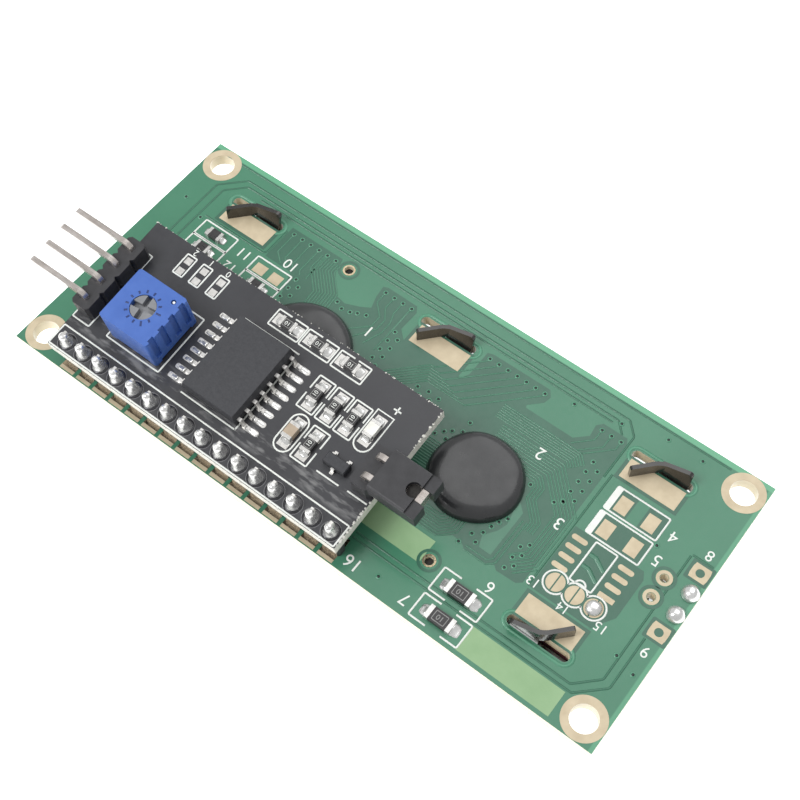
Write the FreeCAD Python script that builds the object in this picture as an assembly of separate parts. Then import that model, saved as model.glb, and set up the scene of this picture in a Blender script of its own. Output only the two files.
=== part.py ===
import FreeCAD, Part
import math
import os

os.makedirs("parts", exist_ok=True)
Vec = FreeCAD.Vector

# A character display module seen from its wiring side. Lengths are millimetres and angles degrees.
# The origin is the centre of the four mounting holes, on the back face of the main board. +X runs
# along the board, away from the four bus pins, and +Z leaves the back face. The screen faces -Z.

# Main board
board_length = 80.0
board_width = 36.0
board_thick = 1.6
hole_edge = 2.5
mount_hole_d = 3.1

# Pin row that joins the two boards
pitch = 2.54
pin_width = 0.64
row_count = 16
row_first_edge = 8.0
row_edge = 1.8
pin_hole_d = 1.0
strip_height = 2.54
row_strip_width = 1.3
row_strip_corner = 0.25
strip_width = 2.5
strip_corner = 0.35
row_pin_front = 1.3
row_pin_back = 1.8
pin_tip = 0.3

# Folded sheet bezel and its twisted tabs
sheet = 0.5
bezel_end_gap = 4.4
bezel_side_gap = 5.85
bezel_height = 7.1
bezel_x = 0.1
bezel_y = 0.5
bezel_bend = 0.9
corner_gap = 0.4
window_end = 3.35
window_side = 4.15
window_corner = 0.6
tab_end = 6.6
tab_rise = 1.8
tab_corner = 0.6
wing_corner = 0.25
neck_start = -0.2
neck_end = 3.3
neck_twist = 13.0
twist_depth = 0.3
wing_kink = 6.0
wing_turn = 28.5
wing_radius = 3.0
wing_run = 2.6
slot_length = 7.6
slot_width = 1.2

# Glass cell, its films, the contact strips and the light behind it
cell_gap = 0.25
film_thick = 0.2
glass_thick = 1.1
film_end = 2.1
front_film_side = 2.85
rear_glass_side = 3.35
zebra_width = 2.0
zebra_end = 2.6
zebra_gap = 0.15
tray_end = 1.6
tray_wall = 0.8
tray_floor = 0.6
tray_inset = 0.1
guide_gap = 0.1
led_bar_length = 8.0
led_bar_thick = 1.5
lead_width = 0.5
lead_rise = 0.6
lead_edge = 1.0
lead_hole_d = 0.9
lead_ys = (2.1, -0.8)
lead_slot_gap = 0.4

# Dies under their round drops of epoxy
blob_xs = (-13.3, 13.5)
blob_y = -0.6
blob_d = 10.9
blob_height = 1.35
blob_foot = 0.5
blob_slope = 0.9
blob_sides = 32
blob_dimple = 0.25
blob_dimple_d = 4.0
die_length = 3.6
die_width = 3.0
die_thick = 0.4

# Empty plated holes, placed from the board's nearest end or corner
spare_hole_d = 1.0
spare_hole_edge = 4.1
spare_hole_ys = (1.95, -0.65)
square_hole_d = 0.9
square_hole_edge = 1.4
square_hole_ys = (4.65, -3.45)
rivet_hole_d = 1.1
upper_rivet = (25.2, 5.4)
lower_rivet = (24.85, 6.65)

# Chip sizes as length, width, height and the length of each metal end. Two small chips lie out from the
# first drop and in from the upper tabs, one lies by the drop, and the large ones follow the pin row.
small_chip = (2.0, 1.25, 0.55, 0.4)
large_chip = (3.2, 1.6, 0.6, 0.5)
tab_chip_spots = ((17.6, 5.7), (17.6, 8.0))
drop_chip_spot = (8.9, 4.7)
large_chip_spots = ((13.9, 5.55), (13.9, 2.05))

# Solder
small_sides = 8
joint_d = 1.9
joint_top_d = 1.1
joint_height = 1.0
joint_front_height = 0.8
lead_joint_d = 1.9
lead_joint_height = 0.9
bridge_spot = (8.15, 6.1)
bridge_d = 1.8
bridge_height = 0.5

# Adapter board, which stands on the pin row's strip
adapter_length = 41.5
adapter_width = 19.0
adapter_thick = 1.6
adapter_left = 1.95
adapter_edge = 1.3
adapter_row_hole_d = 1.2
adapter_lean = 6.5

# Places on the adapter, from its lower left corner
expander_spot = (20.7, 9.6)
trimmer_spot = (8.9, 8.4)
bus_spot = (1.35, 10.0)
jumper_spot = (40.0, 8.8)
lying_chip_spots = ((21.25, 17.3), (25.65, 17.3), (30.15, 17.35))
standing_chip_spots = ((29.15, 12.45), (31.7, 12.45), (34.2, 12.45), (32.25, 7.5))
led_spot = (36.7, 12.7)
capacitor_spot = (29.75, 7.5)
transistor_spot = (36.1, 7.4)

# Wide sixteen lead expander
expander_width = 7.5
expander_length = 10.3
expander_height = 2.35
expander_bottom_gap = 0.15
expander_draft = 0.16
lead_pitch = 1.27
lead_span = 10.3
lead_breadth = 0.42
lead_thick = 0.25
foot_length = 0.85
lead_shoulder_z = 1.2

# Trimmer with its screwdriver rotor
trimmer_size = 7.0
trimmer_height = 4.9
trimmer_foot = 0.3
trimmer_foot_size = 1.0
trimmer_edge = 0.35
rib_count = 3
rib_side = 0.6
rib_depth = 0.3
rib_gap = 0.8
rib_foot = 0.8
rotor_d = 3.0
rotor_gap = 0.05
rotor_recess = 0.1
flange_d = 4.8
flange_thick = 0.9
roof_thick = 1.6
slot_cross_width = 0.65
slot_cross_depth = 0.7
slot_cross_turn = 8.0
wiper_thick = 0.2
wiper_d = 4.0
wiper_hole_d = 2.4
element_size = 5.8
element_thick = 1.0
element_gap = 0.1
trimmer_pin_d = 0.6
trimmer_pin_span = 5.08
trimmer_pin_back = 2.54
trimmer_pin_hole_d = 0.8
adjust_hole_d = 0.6
adjust_hole_depth = 0.8
adjust_hole_offset = 2.4

# Bent pin headers
header_height = 2.54
pin_rise = 0.78
bend_radius = 0.75
tail_length = 0.9
bus_count = 4
bus_reach = 8.1
jumper_count = 2
jumper_reach = 5.9

# Jumper cap pushed on the two pins
cap_length = 6.0
cap_width = 5.04
cap_height = 2.5
cap_start = 1.4
cap_edge = 0.3
cap_wall = 0.6
socket_size = 0.92
cap_step_length = 1.25
cap_step = 0.3
cap_slot = 1.6
test_hole_d = 1.7
test_hole_lap = 0.3
clip_thick = 0.22
clip_gap = 0.04
clip_side_gap = 0.3
clip_cell_gap = 0.05

# Light emitting diode, capacitor and transistor
led_chip = (2.0, 1.25, 0.8, 0.35)
capacitor_chip = (2.0, 1.25, 0.9, 0.4)
transistor_length = 2.9
transistor_width = 1.3
transistor_height = 1.0
transistor_gap = 0.1
transistor_span = 2.4
transistor_pitch = 1.9
transistor_lead_breadth = 0.42
transistor_lead_thick = 0.15
transistor_foot = 0.35

# Sizes and places that follow from the board's ends and sides
left_end = -board_length / 2
right_end = board_length / 2
lower_side = -board_width / 2
upper_side = board_width / 2
hole_span_x = board_length - 2 * hole_edge
hole_span_y = board_width - 2 * hole_edge
row_first_x = left_end + row_first_edge
row_y = lower_side + row_edge
bezel_length = board_length - 2 * bezel_end_gap
bezel_width = board_width - 2 * bezel_side_gap
window_length = bezel_length - 2 * window_end
window_width = bezel_width - 2 * window_side
tab_pitch = bezel_length / 2 - tab_end
film_length = bezel_length - 2 * film_end
front_film_width = bezel_width - 2 * front_film_side
rear_glass_width = bezel_width - 2 * rear_glass_side
zebra_length = bezel_length - 2 * zebra_end
tray_length = bezel_length - 2 * tray_end
tray_width = rear_glass_width - 2 * tray_inset
spare_hole_x = right_end - spare_hole_edge
square_hole_x = right_end - square_hole_edge
rivet_holes = [(left_end + upper_rivet[0], upper_side - upper_rivet[1]),
               (right_end - lower_rivet[0], lower_side + lower_rivet[1])]
upper_tab_y = bezel_y + (bezel_width - sheet) / 2
lower_tab_y = bezel_y - (bezel_width - sheet) / 2
row_last_x = row_first_x + (row_count - 1) * pitch
small_chip_places = [(blob_xs[0] - x, upper_tab_y - y) for x, y in tab_chip_spots]
small_chip_places.append((blob_xs[0] - drop_chip_spot[0], blob_y + drop_chip_spot[1]))
large_chip_places = [(row_last_x + x, lower_side + y) for x, y in large_chip_spots]
bridge_place = (right_end - bridge_spot[0], lower_tab_y + bridge_spot[1])

# Levels that follow from the thicknesses
front_z = -board_thick
bezel_front_z = front_z - bezel_height
adapter_bottom_z = strip_height
adapter_top_z = adapter_bottom_z + adapter_thick
adapter_x = row_first_x - adapter_left
adapter_y = row_y - adapter_edge
header_pin_z = adapter_top_z + header_height + pin_rise
cell_front_z = bezel_front_z + sheet
front_glass_z = cell_front_z + film_thick
rear_glass_z = front_glass_z + glass_thick
rear_film_z = rear_glass_z + glass_thick
diffuser_z = rear_film_z + film_thick
guide_z = diffuser_z + film_thick
tray_z = front_z - tray_floor


def spot(place):
    return (adapter_x + place[0], adapter_y + place[1])


def box(x0, x1, y0, y1, z0, z1):
    return Part.makeBox(x1 - x0, y1 - y0, z1 - z0, Vec(x0, y0, z0))


def middle_box(x, y, length, width, z0, z1):
    return box(x - length / 2, x + length / 2, y - width / 2, y + width / 2, z0, z1)


def drum(x, y, diameter, z0, z1):
    return Part.makeCylinder(diameter / 2, z1 - z0, Vec(x, y, z0))


def drill(shape, spots, diameter, z0, z1):
    return shape.cut([drum(x, y, diameter, z0, z1) for x, y in spots])


# Small round things that repeat by the dozen, such as joints, round pins and pin holes, have flat sides
def post(x, y, z0, d0, z1, d1, sides=small_sides):
    rings = []
    for z, diameter in ((z0, d0), (z1, d1)):
        points = []
        for index in range(sides):
            angle = math.tau * (index + 0.5) / sides
            points.append(Vec(x + diameter / 2 * math.cos(angle), y + diameter / 2 * math.sin(angle), z))
        rings.append(points)
    low, high = rings
    faces = [Part.Face(Part.makePolygon(ring + [ring[0]])) for ring in rings]
    for index in range(sides):
        after = (index + 1) % sides
        corners = [low[index], low[after], high[after], high[index], low[index]]
        faces.append(Part.Face(Part.makePolygon(corners)))
    return Part.makeSolid(Part.makeShell(faces))


def drill_small(shape, spots, diameter, z0, z1):
    return shape.cut([post(x, y, z0, diameter, z1, diameter) for x, y in spots])


# The adapter and all that it carries lean a little about the pin row, as they are soldered
def leaned(shape):
    middle = (adapter_bottom_z + adapter_top_z) / 2
    for solid in shape if isinstance(shape, list) else [shape]:
        solid.rotate(Vec(0, row_y, middle), Vec(1, 0, 0), adapter_lean)
    return shape


def prism(points, lift):
    face = Part.Face(Part.makePolygon(points + [points[0]]))
    return face.extrude(lift)


def level_edges(shape, z):
    return [edge for edge in shape.Edges if all(abs(v.Point.z - z) < 1e-6 for v in edge.Vertexes)]


def upright_edges(shape):
    found = []
    for edge in shape.Edges:
        if len(edge.Vertexes) == 2:
            run = edge.Vertexes[1].Point - edge.Vertexes[0].Point
            if abs(run.z) > 1e-6 and math.hypot(run.x, run.y) < 1e-6:
                found.append(edge)
    return found


def export(name, shapes):
    solids = shapes if isinstance(shapes, list) else [shapes]
    shape = solids[0] if len(solids) == 1 else Part.makeCompound(solids)
    shape.exportStep("parts/" + name + ".step")


def tab_places():
    places = []
    for step in (-1, 0, 1):
        places.append((bezel_x + step * tab_pitch, upper_tab_y, 0.0))
        places.append((bezel_x + step * tab_pitch, lower_tab_y, 180.0))
    return places


def row_places():
    return [(row_first_x + index * pitch, row_y) for index in range(row_count)]


def header_places(place, count):
    x, y = spot(place)
    return [(x, y + (index - (count - 1) / 2) * pitch) for index in range(count)]


def trimmer_pin_places():
    x, y = spot(trimmer_spot)
    half = trimmer_pin_span / 2
    back = trimmer_pin_back / 2
    return [(x - back, y - half), (x - back, y + half), (x + back, y)]


def lead_places():
    x = right_end - lead_edge
    return [(x, y) for y in lead_ys]


# Main board with its holes, and a round ended slot for each tab of the bezel
def slot_cutter(x, y):
    half = slot_length / 2 - slot_width / 2
    middle = middle_box(x, y, 2 * half, slot_width, -board_thick - 1, 1)
    ends = [drum(x + side * half, y, slot_width, -board_thick - 1, 1) for side in (-1, 1)]
    return middle.fuse(ends)


def make_main_board():
    board = middle_box(0, 0, board_length, board_width, front_z, 0)
    below = front_z - 1
    corners = [(sx * hole_span_x / 2, sy * hole_span_y / 2) for sx in (-1, 1) for sy in (-1, 1)]
    board = drill(board, corners, mount_hole_d, below, 1)
    board = drill_small(board, row_places(), pin_hole_d, below, 1)
    board = drill_small(board, [(spare_hole_x, y) for y in spare_hole_ys], spare_hole_d, below, 1)
    board = drill_small(board, [(square_hole_x, y) for y in square_hole_ys], square_hole_d, below, 1)
    board = drill_small(board, lead_places(), lead_hole_d, below, 1)
    board = drill_small(board, rivet_holes, rivet_hole_d, below, 1)
    return board.cut([slot_cutter(x, y) for x, y, turn in tab_places()])


# Bezel: a pan folded from sheet, open at its corners, with a window and six twisted tabs
def make_tab():
    half = sheet / 2
    neck = box(neck_start, neck_end, -half, half, front_z - sheet, -twist_depth)
    low = [Vec(neck_start, -half, 0), Vec(neck_end, -half, 0),
           Vec(neck_end, half, 0), Vec(neck_start, half, 0)]
    high = []
    for point in low:
        turned = FreeCAD.Rotation(Vec(0, 0, 1), neck_twist).multVec(point - Vec(neck_start, 0, 0))
        high.append(turned + Vec(neck_start, 0, tab_rise))
    low = [point + Vec(0, 0, -twist_depth) for point in low]
    wires = [Part.makePolygon(points + [points[0]]) for points in (low, high)]
    blade = Part.makeLoft(wires, True, True)

    start = math.radians(180 + neck_twist + wing_kink)
    stop = start + math.radians(wing_turn)
    join = neck_start + sheet
    first = Vec(join, (join - neck_start) * math.tan(math.radians(neck_twist)), 0)
    centre = first + Vec(-math.sin(start), math.cos(start), 0) * wing_radius

    def rim(angle, radius):
        return centre + Vec(math.sin(angle), -math.cos(angle), 0) * radius

    def arc(radius):
        return Part.Arc(rim(start, radius), rim((start + stop) / 2, radius), rim(stop, radius)).toShape()

    run = Vec(math.cos(stop), math.sin(stop), 0) * wing_run
    outer = wing_radius + half
    inner = wing_radius - half
    edges = [
        arc(outer),
        Part.makeLine(rim(stop, outer), rim(stop, outer) + run),
        Part.makeLine(rim(stop, outer) + run, rim(stop, inner) + run),
        Part.makeLine(rim(stop, inner) + run, rim(stop, inner)),
        arc(inner),
        Part.makeLine(rim(start, inner), rim(start, outer)),
    ]
    wire = Part.Wire(Part.__sortEdges__(edges))
    wing = Part.Face(wire).extrude(Vec(0, 0, tab_rise))
    ends = [edge for edge in level_edges(wing, tab_rise) if edge.Length < sheet * 1.01]
    far_end = min(ends, key=lambda edge: edge.CenterOfMass.x)
    wing = wing.makeFillet(wing_corner, [far_end])
    tip = max(point.x for point in high)
    clear = neck_end
    corner = box(tip - tab_corner, tip + 1, -clear, clear, tab_rise - tab_corner, tab_rise + 1)
    round_end = Vec(tip - tab_corner, -clear, tab_rise - tab_corner)
    corner = corner.cut(Part.makeCylinder(tab_corner, 2 * clear, round_end, Vec(0, 1, 0)))
    return neck.fuse([blade.cut(corner), wing]).removeSplitter()


def make_bezel():
    inside_length = bezel_length - 2 * sheet
    inside_width = bezel_width - 2 * sheet
    outer = middle_box(bezel_x, bezel_y, bezel_length, bezel_width, bezel_front_z, front_z)
    outer = outer.makeFillet(bezel_bend, level_edges(outer, bezel_front_z))
    inner = middle_box(bezel_x, bezel_y, inside_length, inside_width, cell_front_z, front_z + 1)
    inner = inner.makeFillet(bezel_bend - sheet, level_edges(inner, cell_front_z))
    window = middle_box(bezel_x, bezel_y, window_length, window_width, bezel_front_z - 1, cell_front_z + 1)
    window = window.makeFillet(window_corner, upright_edges(window))
    pan = outer.cut([inner, window])
    gaps = []
    for sx in (-1, 1):
        for sy in (-1, 1):
            x = bezel_x + sx * (bezel_length - sheet) / 2
            y = bezel_y + sy * (inside_width - corner_gap) / 2
            gaps.append(middle_box(x, y, 2 * sheet, corner_gap, bezel_front_z + bezel_bend, front_z + 1))
    x = bezel_x + (bezel_length - sheet) / 2
    for lead_x, lead_y in lead_places():
        width = lead_width + 2 * lead_slot_gap
        slot_z = front_z - tray_floor - lead_slot_gap
        gaps.append(middle_box(x, lead_y, 2 * sheet, width, slot_z, front_z + 1))
    pan = pan.cut(gaps)
    tab = make_tab()
    tabs = []
    for x, y, turn in tab_places():
        copy = tab.copy()
        copy.rotate(Vec(0, 0, 0), Vec(0, 0, 1), turn)
        copy.translate(Vec(x, y, 0))
        tabs.append(copy)
    return pan.fuse(tabs).removeSplitter()


# The display stack inside the bezel
def make_film(length, width, z):
    return middle_box(bezel_x, bezel_y, length, width, z, z + film_thick)


def make_glass(length, width, z):
    return middle_box(bezel_x, bezel_y, length, width, z, z + glass_thick)


def make_zebra_strips():
    strips = []
    for side in (-1, 1):
        y = bezel_y + side * (rear_glass_width / 2 + zebra_gap + zebra_width / 2)
        strips.append(middle_box(bezel_x, y, zebra_length, zebra_width, rear_glass_z, front_z))
    return strips


def guide_size():
    return (tray_length - 2 * tray_wall - 2 * guide_gap, tray_width - 2 * tray_wall - 2 * guide_gap)


def led_bar_box(gap):
    length, width = guide_size()
    x1 = bezel_x + length / 2
    y = sum(lead_ys) / len(lead_ys)
    half = led_bar_length / 2 + gap
    return box(x1 - led_bar_thick - gap, x1 + gap, y - half, y + half, guide_z - gap, tray_z)


def make_tray():
    tray = middle_box(bezel_x, bezel_y, tray_length, tray_width, guide_z, front_z)
    inner_length = tray_length - 2 * tray_wall
    inner_width = tray_width - 2 * tray_wall
    hollow = middle_box(bezel_x, bezel_y, inner_length, inner_width, guide_z - 1, tray_z)
    tray = tray.cut(hollow)
    return tray.cut([lead.copy() for lead in lead_paths(0.0)])


def make_guide():
    length, width = guide_size()
    guide = middle_box(bezel_x, bezel_y, length, width, guide_z, tray_z)
    return guide.cut(led_bar_box(guide_gap))


# Each lead lies in the tray's floor, leaves under the bezel's end wall and turns up through the board
def lead_paths(extra):
    leads = []
    start = bezel_x + guide_size()[0] / 2 - led_bar_thick / 2
    half = lead_width / 2 + extra
    for x, y in lead_places():
        z_low = front_z - lead_width - extra
        profile = [(start, z_low), (x + half, z_low), (x + half, lead_rise), (x - half, lead_rise),
                   (x - half, front_z + extra), (start, front_z + extra)]
        points = [Vec(across, y - half, up) for across, up in profile]
        leads.append(prism(points, Vec(0, 2 * half, 0)))
    return leads


# Dies and the epoxy over them
def make_dies():
    return [middle_box(x, blob_y, die_length, die_width, 0, die_thick) for x in blob_xs]


def make_blobs():
    blobs = []
    top_d = blob_d - 2 * blob_slope
    for x, die in zip(blob_xs, make_dies()):
        foot = post(x, blob_y, 0, blob_d, blob_foot, blob_d, blob_sides)
        shoulder = post(x, blob_y, blob_foot, blob_d, blob_height, top_d, blob_sides)
        dimple = post(x, blob_y, blob_height - blob_dimple, blob_dimple_d, blob_height, top_d, blob_sides)
        blobs.append(foot.fuse(shoulder).removeSplitter().cut([dimple, die]))
    return blobs


# Chips: a body between two metal ends
def chip_body(x, y, size, z, turned):
    length, width, height, end = size
    if turned:
        return middle_box(x, y, width, length - 2 * end, z, z + height)
    return middle_box(x, y, length - 2 * end, width, z, z + height)


def chip_ends(x, y, size, z, turned):
    length, width, height, end = size
    ends = []
    for side in (-1, 1):
        shift = side * (length - end) / 2
        if turned:
            ends.append(middle_box(x, y + shift, width, end, z, z + height))
        else:
            ends.append(middle_box(x + shift, y, end, width, z, z + height))
    return ends


def joined(lists):
    return [shape for part in lists for shape in part]


# Solder cones round a square pin, a lead or a round pin
def solder_cone(x, y, z, height, base, top, lift):
    if lift > 0:
        return post(x, y, z, base, z + height, top)
    return post(x, y, z - height, top, z, base)


def square_pin(x, y, z0, z1):
    return middle_box(x, y, pin_width, pin_width, z0, z1)


def make_row_pins():
    pins = []
    low = front_z - row_pin_front
    high = adapter_top_z + row_pin_back
    half = pin_width / 2
    slim = half - pin_tip / 2
    for x, y in row_places():
        profile = [(-slim, low), (slim, low), (half, low + pin_tip), (half, high - pin_tip),
                   (slim, high), (-slim, high), (-half, high - pin_tip), (-half, low + pin_tip)]
        points = [Vec(x + across, y - half, up) for across, up in profile]
        pins.append(prism(points, Vec(0, pin_width, 0)))
    return pins


# Header blocks are a row of cells with cut corners
def header_block(places, along_x, width, cut, z0, z1):
    cells = []
    for x, y in places:
        long_half = pitch / 2
        wide_half = width / 2
        half_x = long_half if along_x else wide_half
        half_y = wide_half if along_x else long_half
        points = [Vec(x - half_x + cut, y - half_y, z0), Vec(x + half_x - cut, y - half_y, z0),
                  Vec(x + half_x, y - half_y + cut, z0), Vec(x + half_x, y + half_y - cut, z0),
                  Vec(x + half_x - cut, y + half_y, z0), Vec(x - half_x + cut, y + half_y, z0),
                  Vec(x - half_x, y + half_y - cut, z0), Vec(x - half_x, y - half_y + cut, z0)]
        cells.append(prism(points, Vec(0, 0, z1 - z0)))
    block = cells[0].fuse(cells[1:]).removeSplitter()
    return block.cut([square_pin(x, y, z0 - 1, z1 + 1) for x, y in places])


# A header pin rises through its block, bends once and runs level to its tip
def bent_pin(x, y, way, reach):
    half = pin_width / 2
    z0 = adapter_bottom_z - tail_length
    zc = header_pin_z
    slim = half - pin_tip / 2

    def at(across, z):
        return Vec(x + way * across, y - half, z)

    def turn(radius):
        lean = math.radians(45)
        low = zc - bend_radius
        mid = at(bend_radius - radius * math.cos(lean), low + radius * math.sin(lean))
        return Part.Arc(at(bend_radius - radius, low), mid, at(bend_radius, low + radius))

    inner = bend_radius - half
    outer = bend_radius + half
    points = [at(bend_radius, zc - half), at(reach - pin_tip, zc - half), at(reach, zc - slim),
              at(reach, zc + slim), at(reach - pin_tip, zc + half), at(bend_radius, zc + half)]
    edges = [Part.makeLine(a, b) for a, b in zip(points, points[1:])]
    edges.append(turn(outer).toShape())
    edges.append(Part.makeLine(at(-half, zc - bend_radius), at(-half, z0)))
    edges.append(Part.makeLine(at(-half, z0), at(half, z0)))
    edges.append(Part.makeLine(at(half, z0), at(half, zc - bend_radius)))
    edges.append(turn(inner).toShape())
    wire = Part.Wire(Part.__sortEdges__(edges))
    return Part.Face(wire).extrude(Vec(0, pin_width, 0))


def adapter_slab():
    return box(adapter_x, adapter_x + adapter_length, adapter_y, adapter_y + adapter_width,
               adapter_bottom_z, adapter_top_z)


def make_adapter_board():
    board = adapter_slab()
    pins = header_places(bus_spot, bus_count) + header_places(jumper_spot, jumper_count)
    low = adapter_bottom_z - 1
    high = adapter_top_z + 1
    board = drill_small(board, row_places(), adapter_row_hole_d, low, high)
    board = drill_small(board, pins, pin_hole_d, low, high)
    return drill_small(board, trimmer_pin_places(), trimmer_pin_hole_d, low, high)


def make_underside_joints():
    joints = []
    for x, y in header_places(bus_spot, bus_count) + header_places(jumper_spot, jumper_count):
        cone = solder_cone(x, y, adapter_bottom_z, tail_length * 0.8, joint_d, joint_top_d, -1)
        joints.append(cone.cut(square_pin(x, y, 0, adapter_top_z)))
    for x, y in trimmer_pin_places():
        cone = solder_cone(x, y, adapter_bottom_z, tail_length * 0.8, joint_d, joint_top_d, -1)
        joints.append(cone.cut(post(x, y, 0, trimmer_pin_d, adapter_top_z, trimmer_pin_d)))
    return joints


# Expander: a body drafted from its parting line, and sixteen gull wing leads
def make_expander_body():
    x, y = spot(expander_spot)
    z0 = adapter_top_z + expander_bottom_gap
    z2 = adapter_top_z + expander_height
    z1 = adapter_top_z + lead_shoulder_z

    def outline(z):
        inset = expander_draft * abs(z - z1)
        half_x = expander_width / 2 - inset
        half_y = expander_length / 2 - inset
        points = [Vec(x - half_x, y - half_y, z), Vec(x + half_x, y - half_y, z),
                  Vec(x + half_x, y + half_y, z), Vec(x - half_x, y + half_y, z)]
        return Part.makePolygon(points + [points[0]])

    lower = Part.makeLoft([outline(z0), outline(z1)], True, True)
    upper = Part.makeLoft([outline(z1), outline(z2)], True, True)
    return lower.fuse(upper).removeSplitter()


def gull_lead(x, y, way, inner, outer, foot, thick, breadth, shoulder, along_y):
    half = thick / 2
    slope = (outer - inner - foot) * 0.35
    knee = outer - foot - slope
    profile = [(inner, shoulder - half), (knee - half, shoulder - half), (outer - foot - half, 0),
               (outer, 0), (outer, thick), (outer - foot + half, thick), (knee + half, shoulder + half),
               (inner, shoulder + half)]
    z = adapter_top_z
    if along_y:
        points = [Vec(x - breadth / 2, y + way * a, z + h) for a, h in profile]
        return prism(points, Vec(breadth, 0, 0))
    points = [Vec(x + way * a, y - breadth / 2, z + h) for a, h in profile]
    return prism(points, Vec(0, breadth, 0))


def make_expander_leads():
    x, y = spot(expander_spot)
    leads = []
    for way in (-1, 1):
        for index in range(8):
            lead_y = y + (index - 3.5) * lead_pitch
            inner = (expander_width - lead_thick) / 2
            leads.append(gull_lead(x, lead_y, way, inner, lead_span / 2, foot_length, lead_thick,
                                   lead_breadth, lead_shoulder_z, False))
    body = make_expander_body()
    return [lead.cut(body) for lead in leads]


# Trimmer: a housing on four feet with ribs down one side, a stepped bore and an open bottom
def trimmer_levels():
    bottom = adapter_top_z + trimmer_foot
    top = adapter_top_z + trimmer_height
    return bottom, top


def make_trimmer_housing():
    x, y = spot(trimmer_spot)
    bottom, top = trimmer_levels()
    half = trimmer_size / 2
    body = middle_box(x, y, trimmer_size, trimmer_size, adapter_top_z, top)
    body = body.makeFillet(trimmer_edge, upright_edges(body))
    clear = trimmer_size - 2 * trimmer_foot_size
    cutters = [middle_box(x, y, trimmer_size + 2, clear, adapter_top_z - 1, bottom),
               middle_box(x, y, clear, trimmer_size + 2, adapter_top_z - 1, bottom)]
    width = (trimmer_size - 2 * rib_side - (rib_count + 1) * rib_gap) / rib_count
    for index in range(rib_count + 1):
        y0 = y - half + rib_side + index * (rib_gap + width)
        foot_z = bottom + rib_foot
        cutters.append(box(x + half - rib_depth, x + half + 1, y0, y0 + rib_gap, foot_z, top + 1))
    bore = rotor_d / 2 + rotor_gap
    roof = top - roof_thick
    cutters.append(Part.makeCylinder(bore, roof_thick + 2, Vec(x, y, roof - 1)))
    depth = flange_thick + wiper_thick + 3 * rotor_gap + 1
    cutters.append(Part.makeCylinder(flange_d / 2 + rotor_gap, depth, Vec(x, y, roof - depth)))
    pocket = element_size + 2 * element_gap
    cutters.append(middle_box(x, y, pocket, pocket, bottom - 1, element_top_z()))
    corner = Vec(x + adjust_hole_offset, y + adjust_hole_offset, top - adjust_hole_depth)
    cutters.append(Part.makeCylinder(adjust_hole_d / 2, adjust_hole_depth + 1, corner))
    return body.cut(cutters)


def element_top_z():
    bottom, top = trimmer_levels()
    return top - roof_thick - flange_thick - wiper_thick - 3 * rotor_gap


def make_trimmer_element():
    x, y = spot(trimmer_spot)
    top = element_top_z()
    plate = middle_box(x, y, element_size, element_size, top - element_thick, top)
    return drill_small(plate, trimmer_pin_places(), trimmer_pin_d, top - element_thick - 1, top + 1)


def make_trimmer_pins():
    low = adapter_bottom_z - tail_length
    high = element_top_z()
    return [post(x, y, low, trimmer_pin_d, high, trimmer_pin_d) for x, y in trimmer_pin_places()]


def make_rotor():
    x, y = spot(trimmer_spot)
    bottom, top = trimmer_levels()
    crown = top - rotor_recess
    roof = top - roof_thick - rotor_gap
    stem = drum(x, y, rotor_d, roof - flange_thick, crown)
    rotor = stem.fuse(drum(x, y, flange_d, roof - flange_thick, roof))
    arms = [middle_box(0, 0, rotor_d + 1, slot_cross_width, crown - slot_cross_depth, crown + 1),
            middle_box(0, 0, slot_cross_width, rotor_d + 1, crown - slot_cross_depth, crown + 1)]
    for arm in arms:
        arm.rotate(Vec(0, 0, 0), Vec(0, 0, 1), slot_cross_turn)
        arm.translate(Vec(x, y, 0))
    return rotor.removeSplitter().cut(arms)


def make_wiper():
    x, y = spot(trimmer_spot)
    bottom, top = trimmer_levels()
    z1 = top - roof_thick - rotor_gap - flange_thick
    return drum(x, y, wiper_d, z1 - wiper_thick, z1).cut(drum(x, y, wiper_hole_d, z1 - 1, z1 + 1))


# Jumper cap: a block with two sockets, a stepped outer end, a slot and a test hole
def cap_frame():
    x, y = spot(jumper_spot)
    return x + cap_start, y, header_pin_z


def cell_half_height():
    return pin_width / 2 + clip_gap + clip_thick + clip_cell_gap


def cell_half_width():
    return pitch / 2 + pin_width / 2 + clip_side_gap


def make_jumper_cap():
    x, y, z = cap_frame()
    half = cap_height / 2
    cap = box(x, x + cap_length, y - cap_width / 2, y + cap_width / 2, z - half, z + half)
    long_edges = [edge for edge in cap.Edges if edge.BoundBox.XLength > cap_edge]
    cap = cap.makeFillet(cap_edge, long_edges)
    step_x = x + cap_length - cap_step_length
    high = cell_half_height()
    wide = cell_half_width()
    cell_end = x + cap_length - cap_step_length
    cutters = [
        box(step_x, x + cap_length + 1, y - cap_width, y + cap_width, z + half - cap_step, z + half + 1),
        box(step_x, x + cap_length + 1, y - cap_slot / 2, y + cap_slot / 2, z - half - 1, z + half + 1),
        box(x + cap_wall, cell_end, y - wide, y + wide, z - high, z + high),
        drum(step_x - test_hole_d / 2 + test_hole_lap, y, test_hole_d, z, z + half + 1),
    ]
    mid_x = x + cap_wall / 2
    for side in (-1, 1):
        socket_y = y + side * pitch / 2
        half = socket_size / 2
        cutters.append(middle_box(mid_x, socket_y, cap_wall + 2, socket_size, z - half, z + half))
    return cap.cut(cutters)


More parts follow.
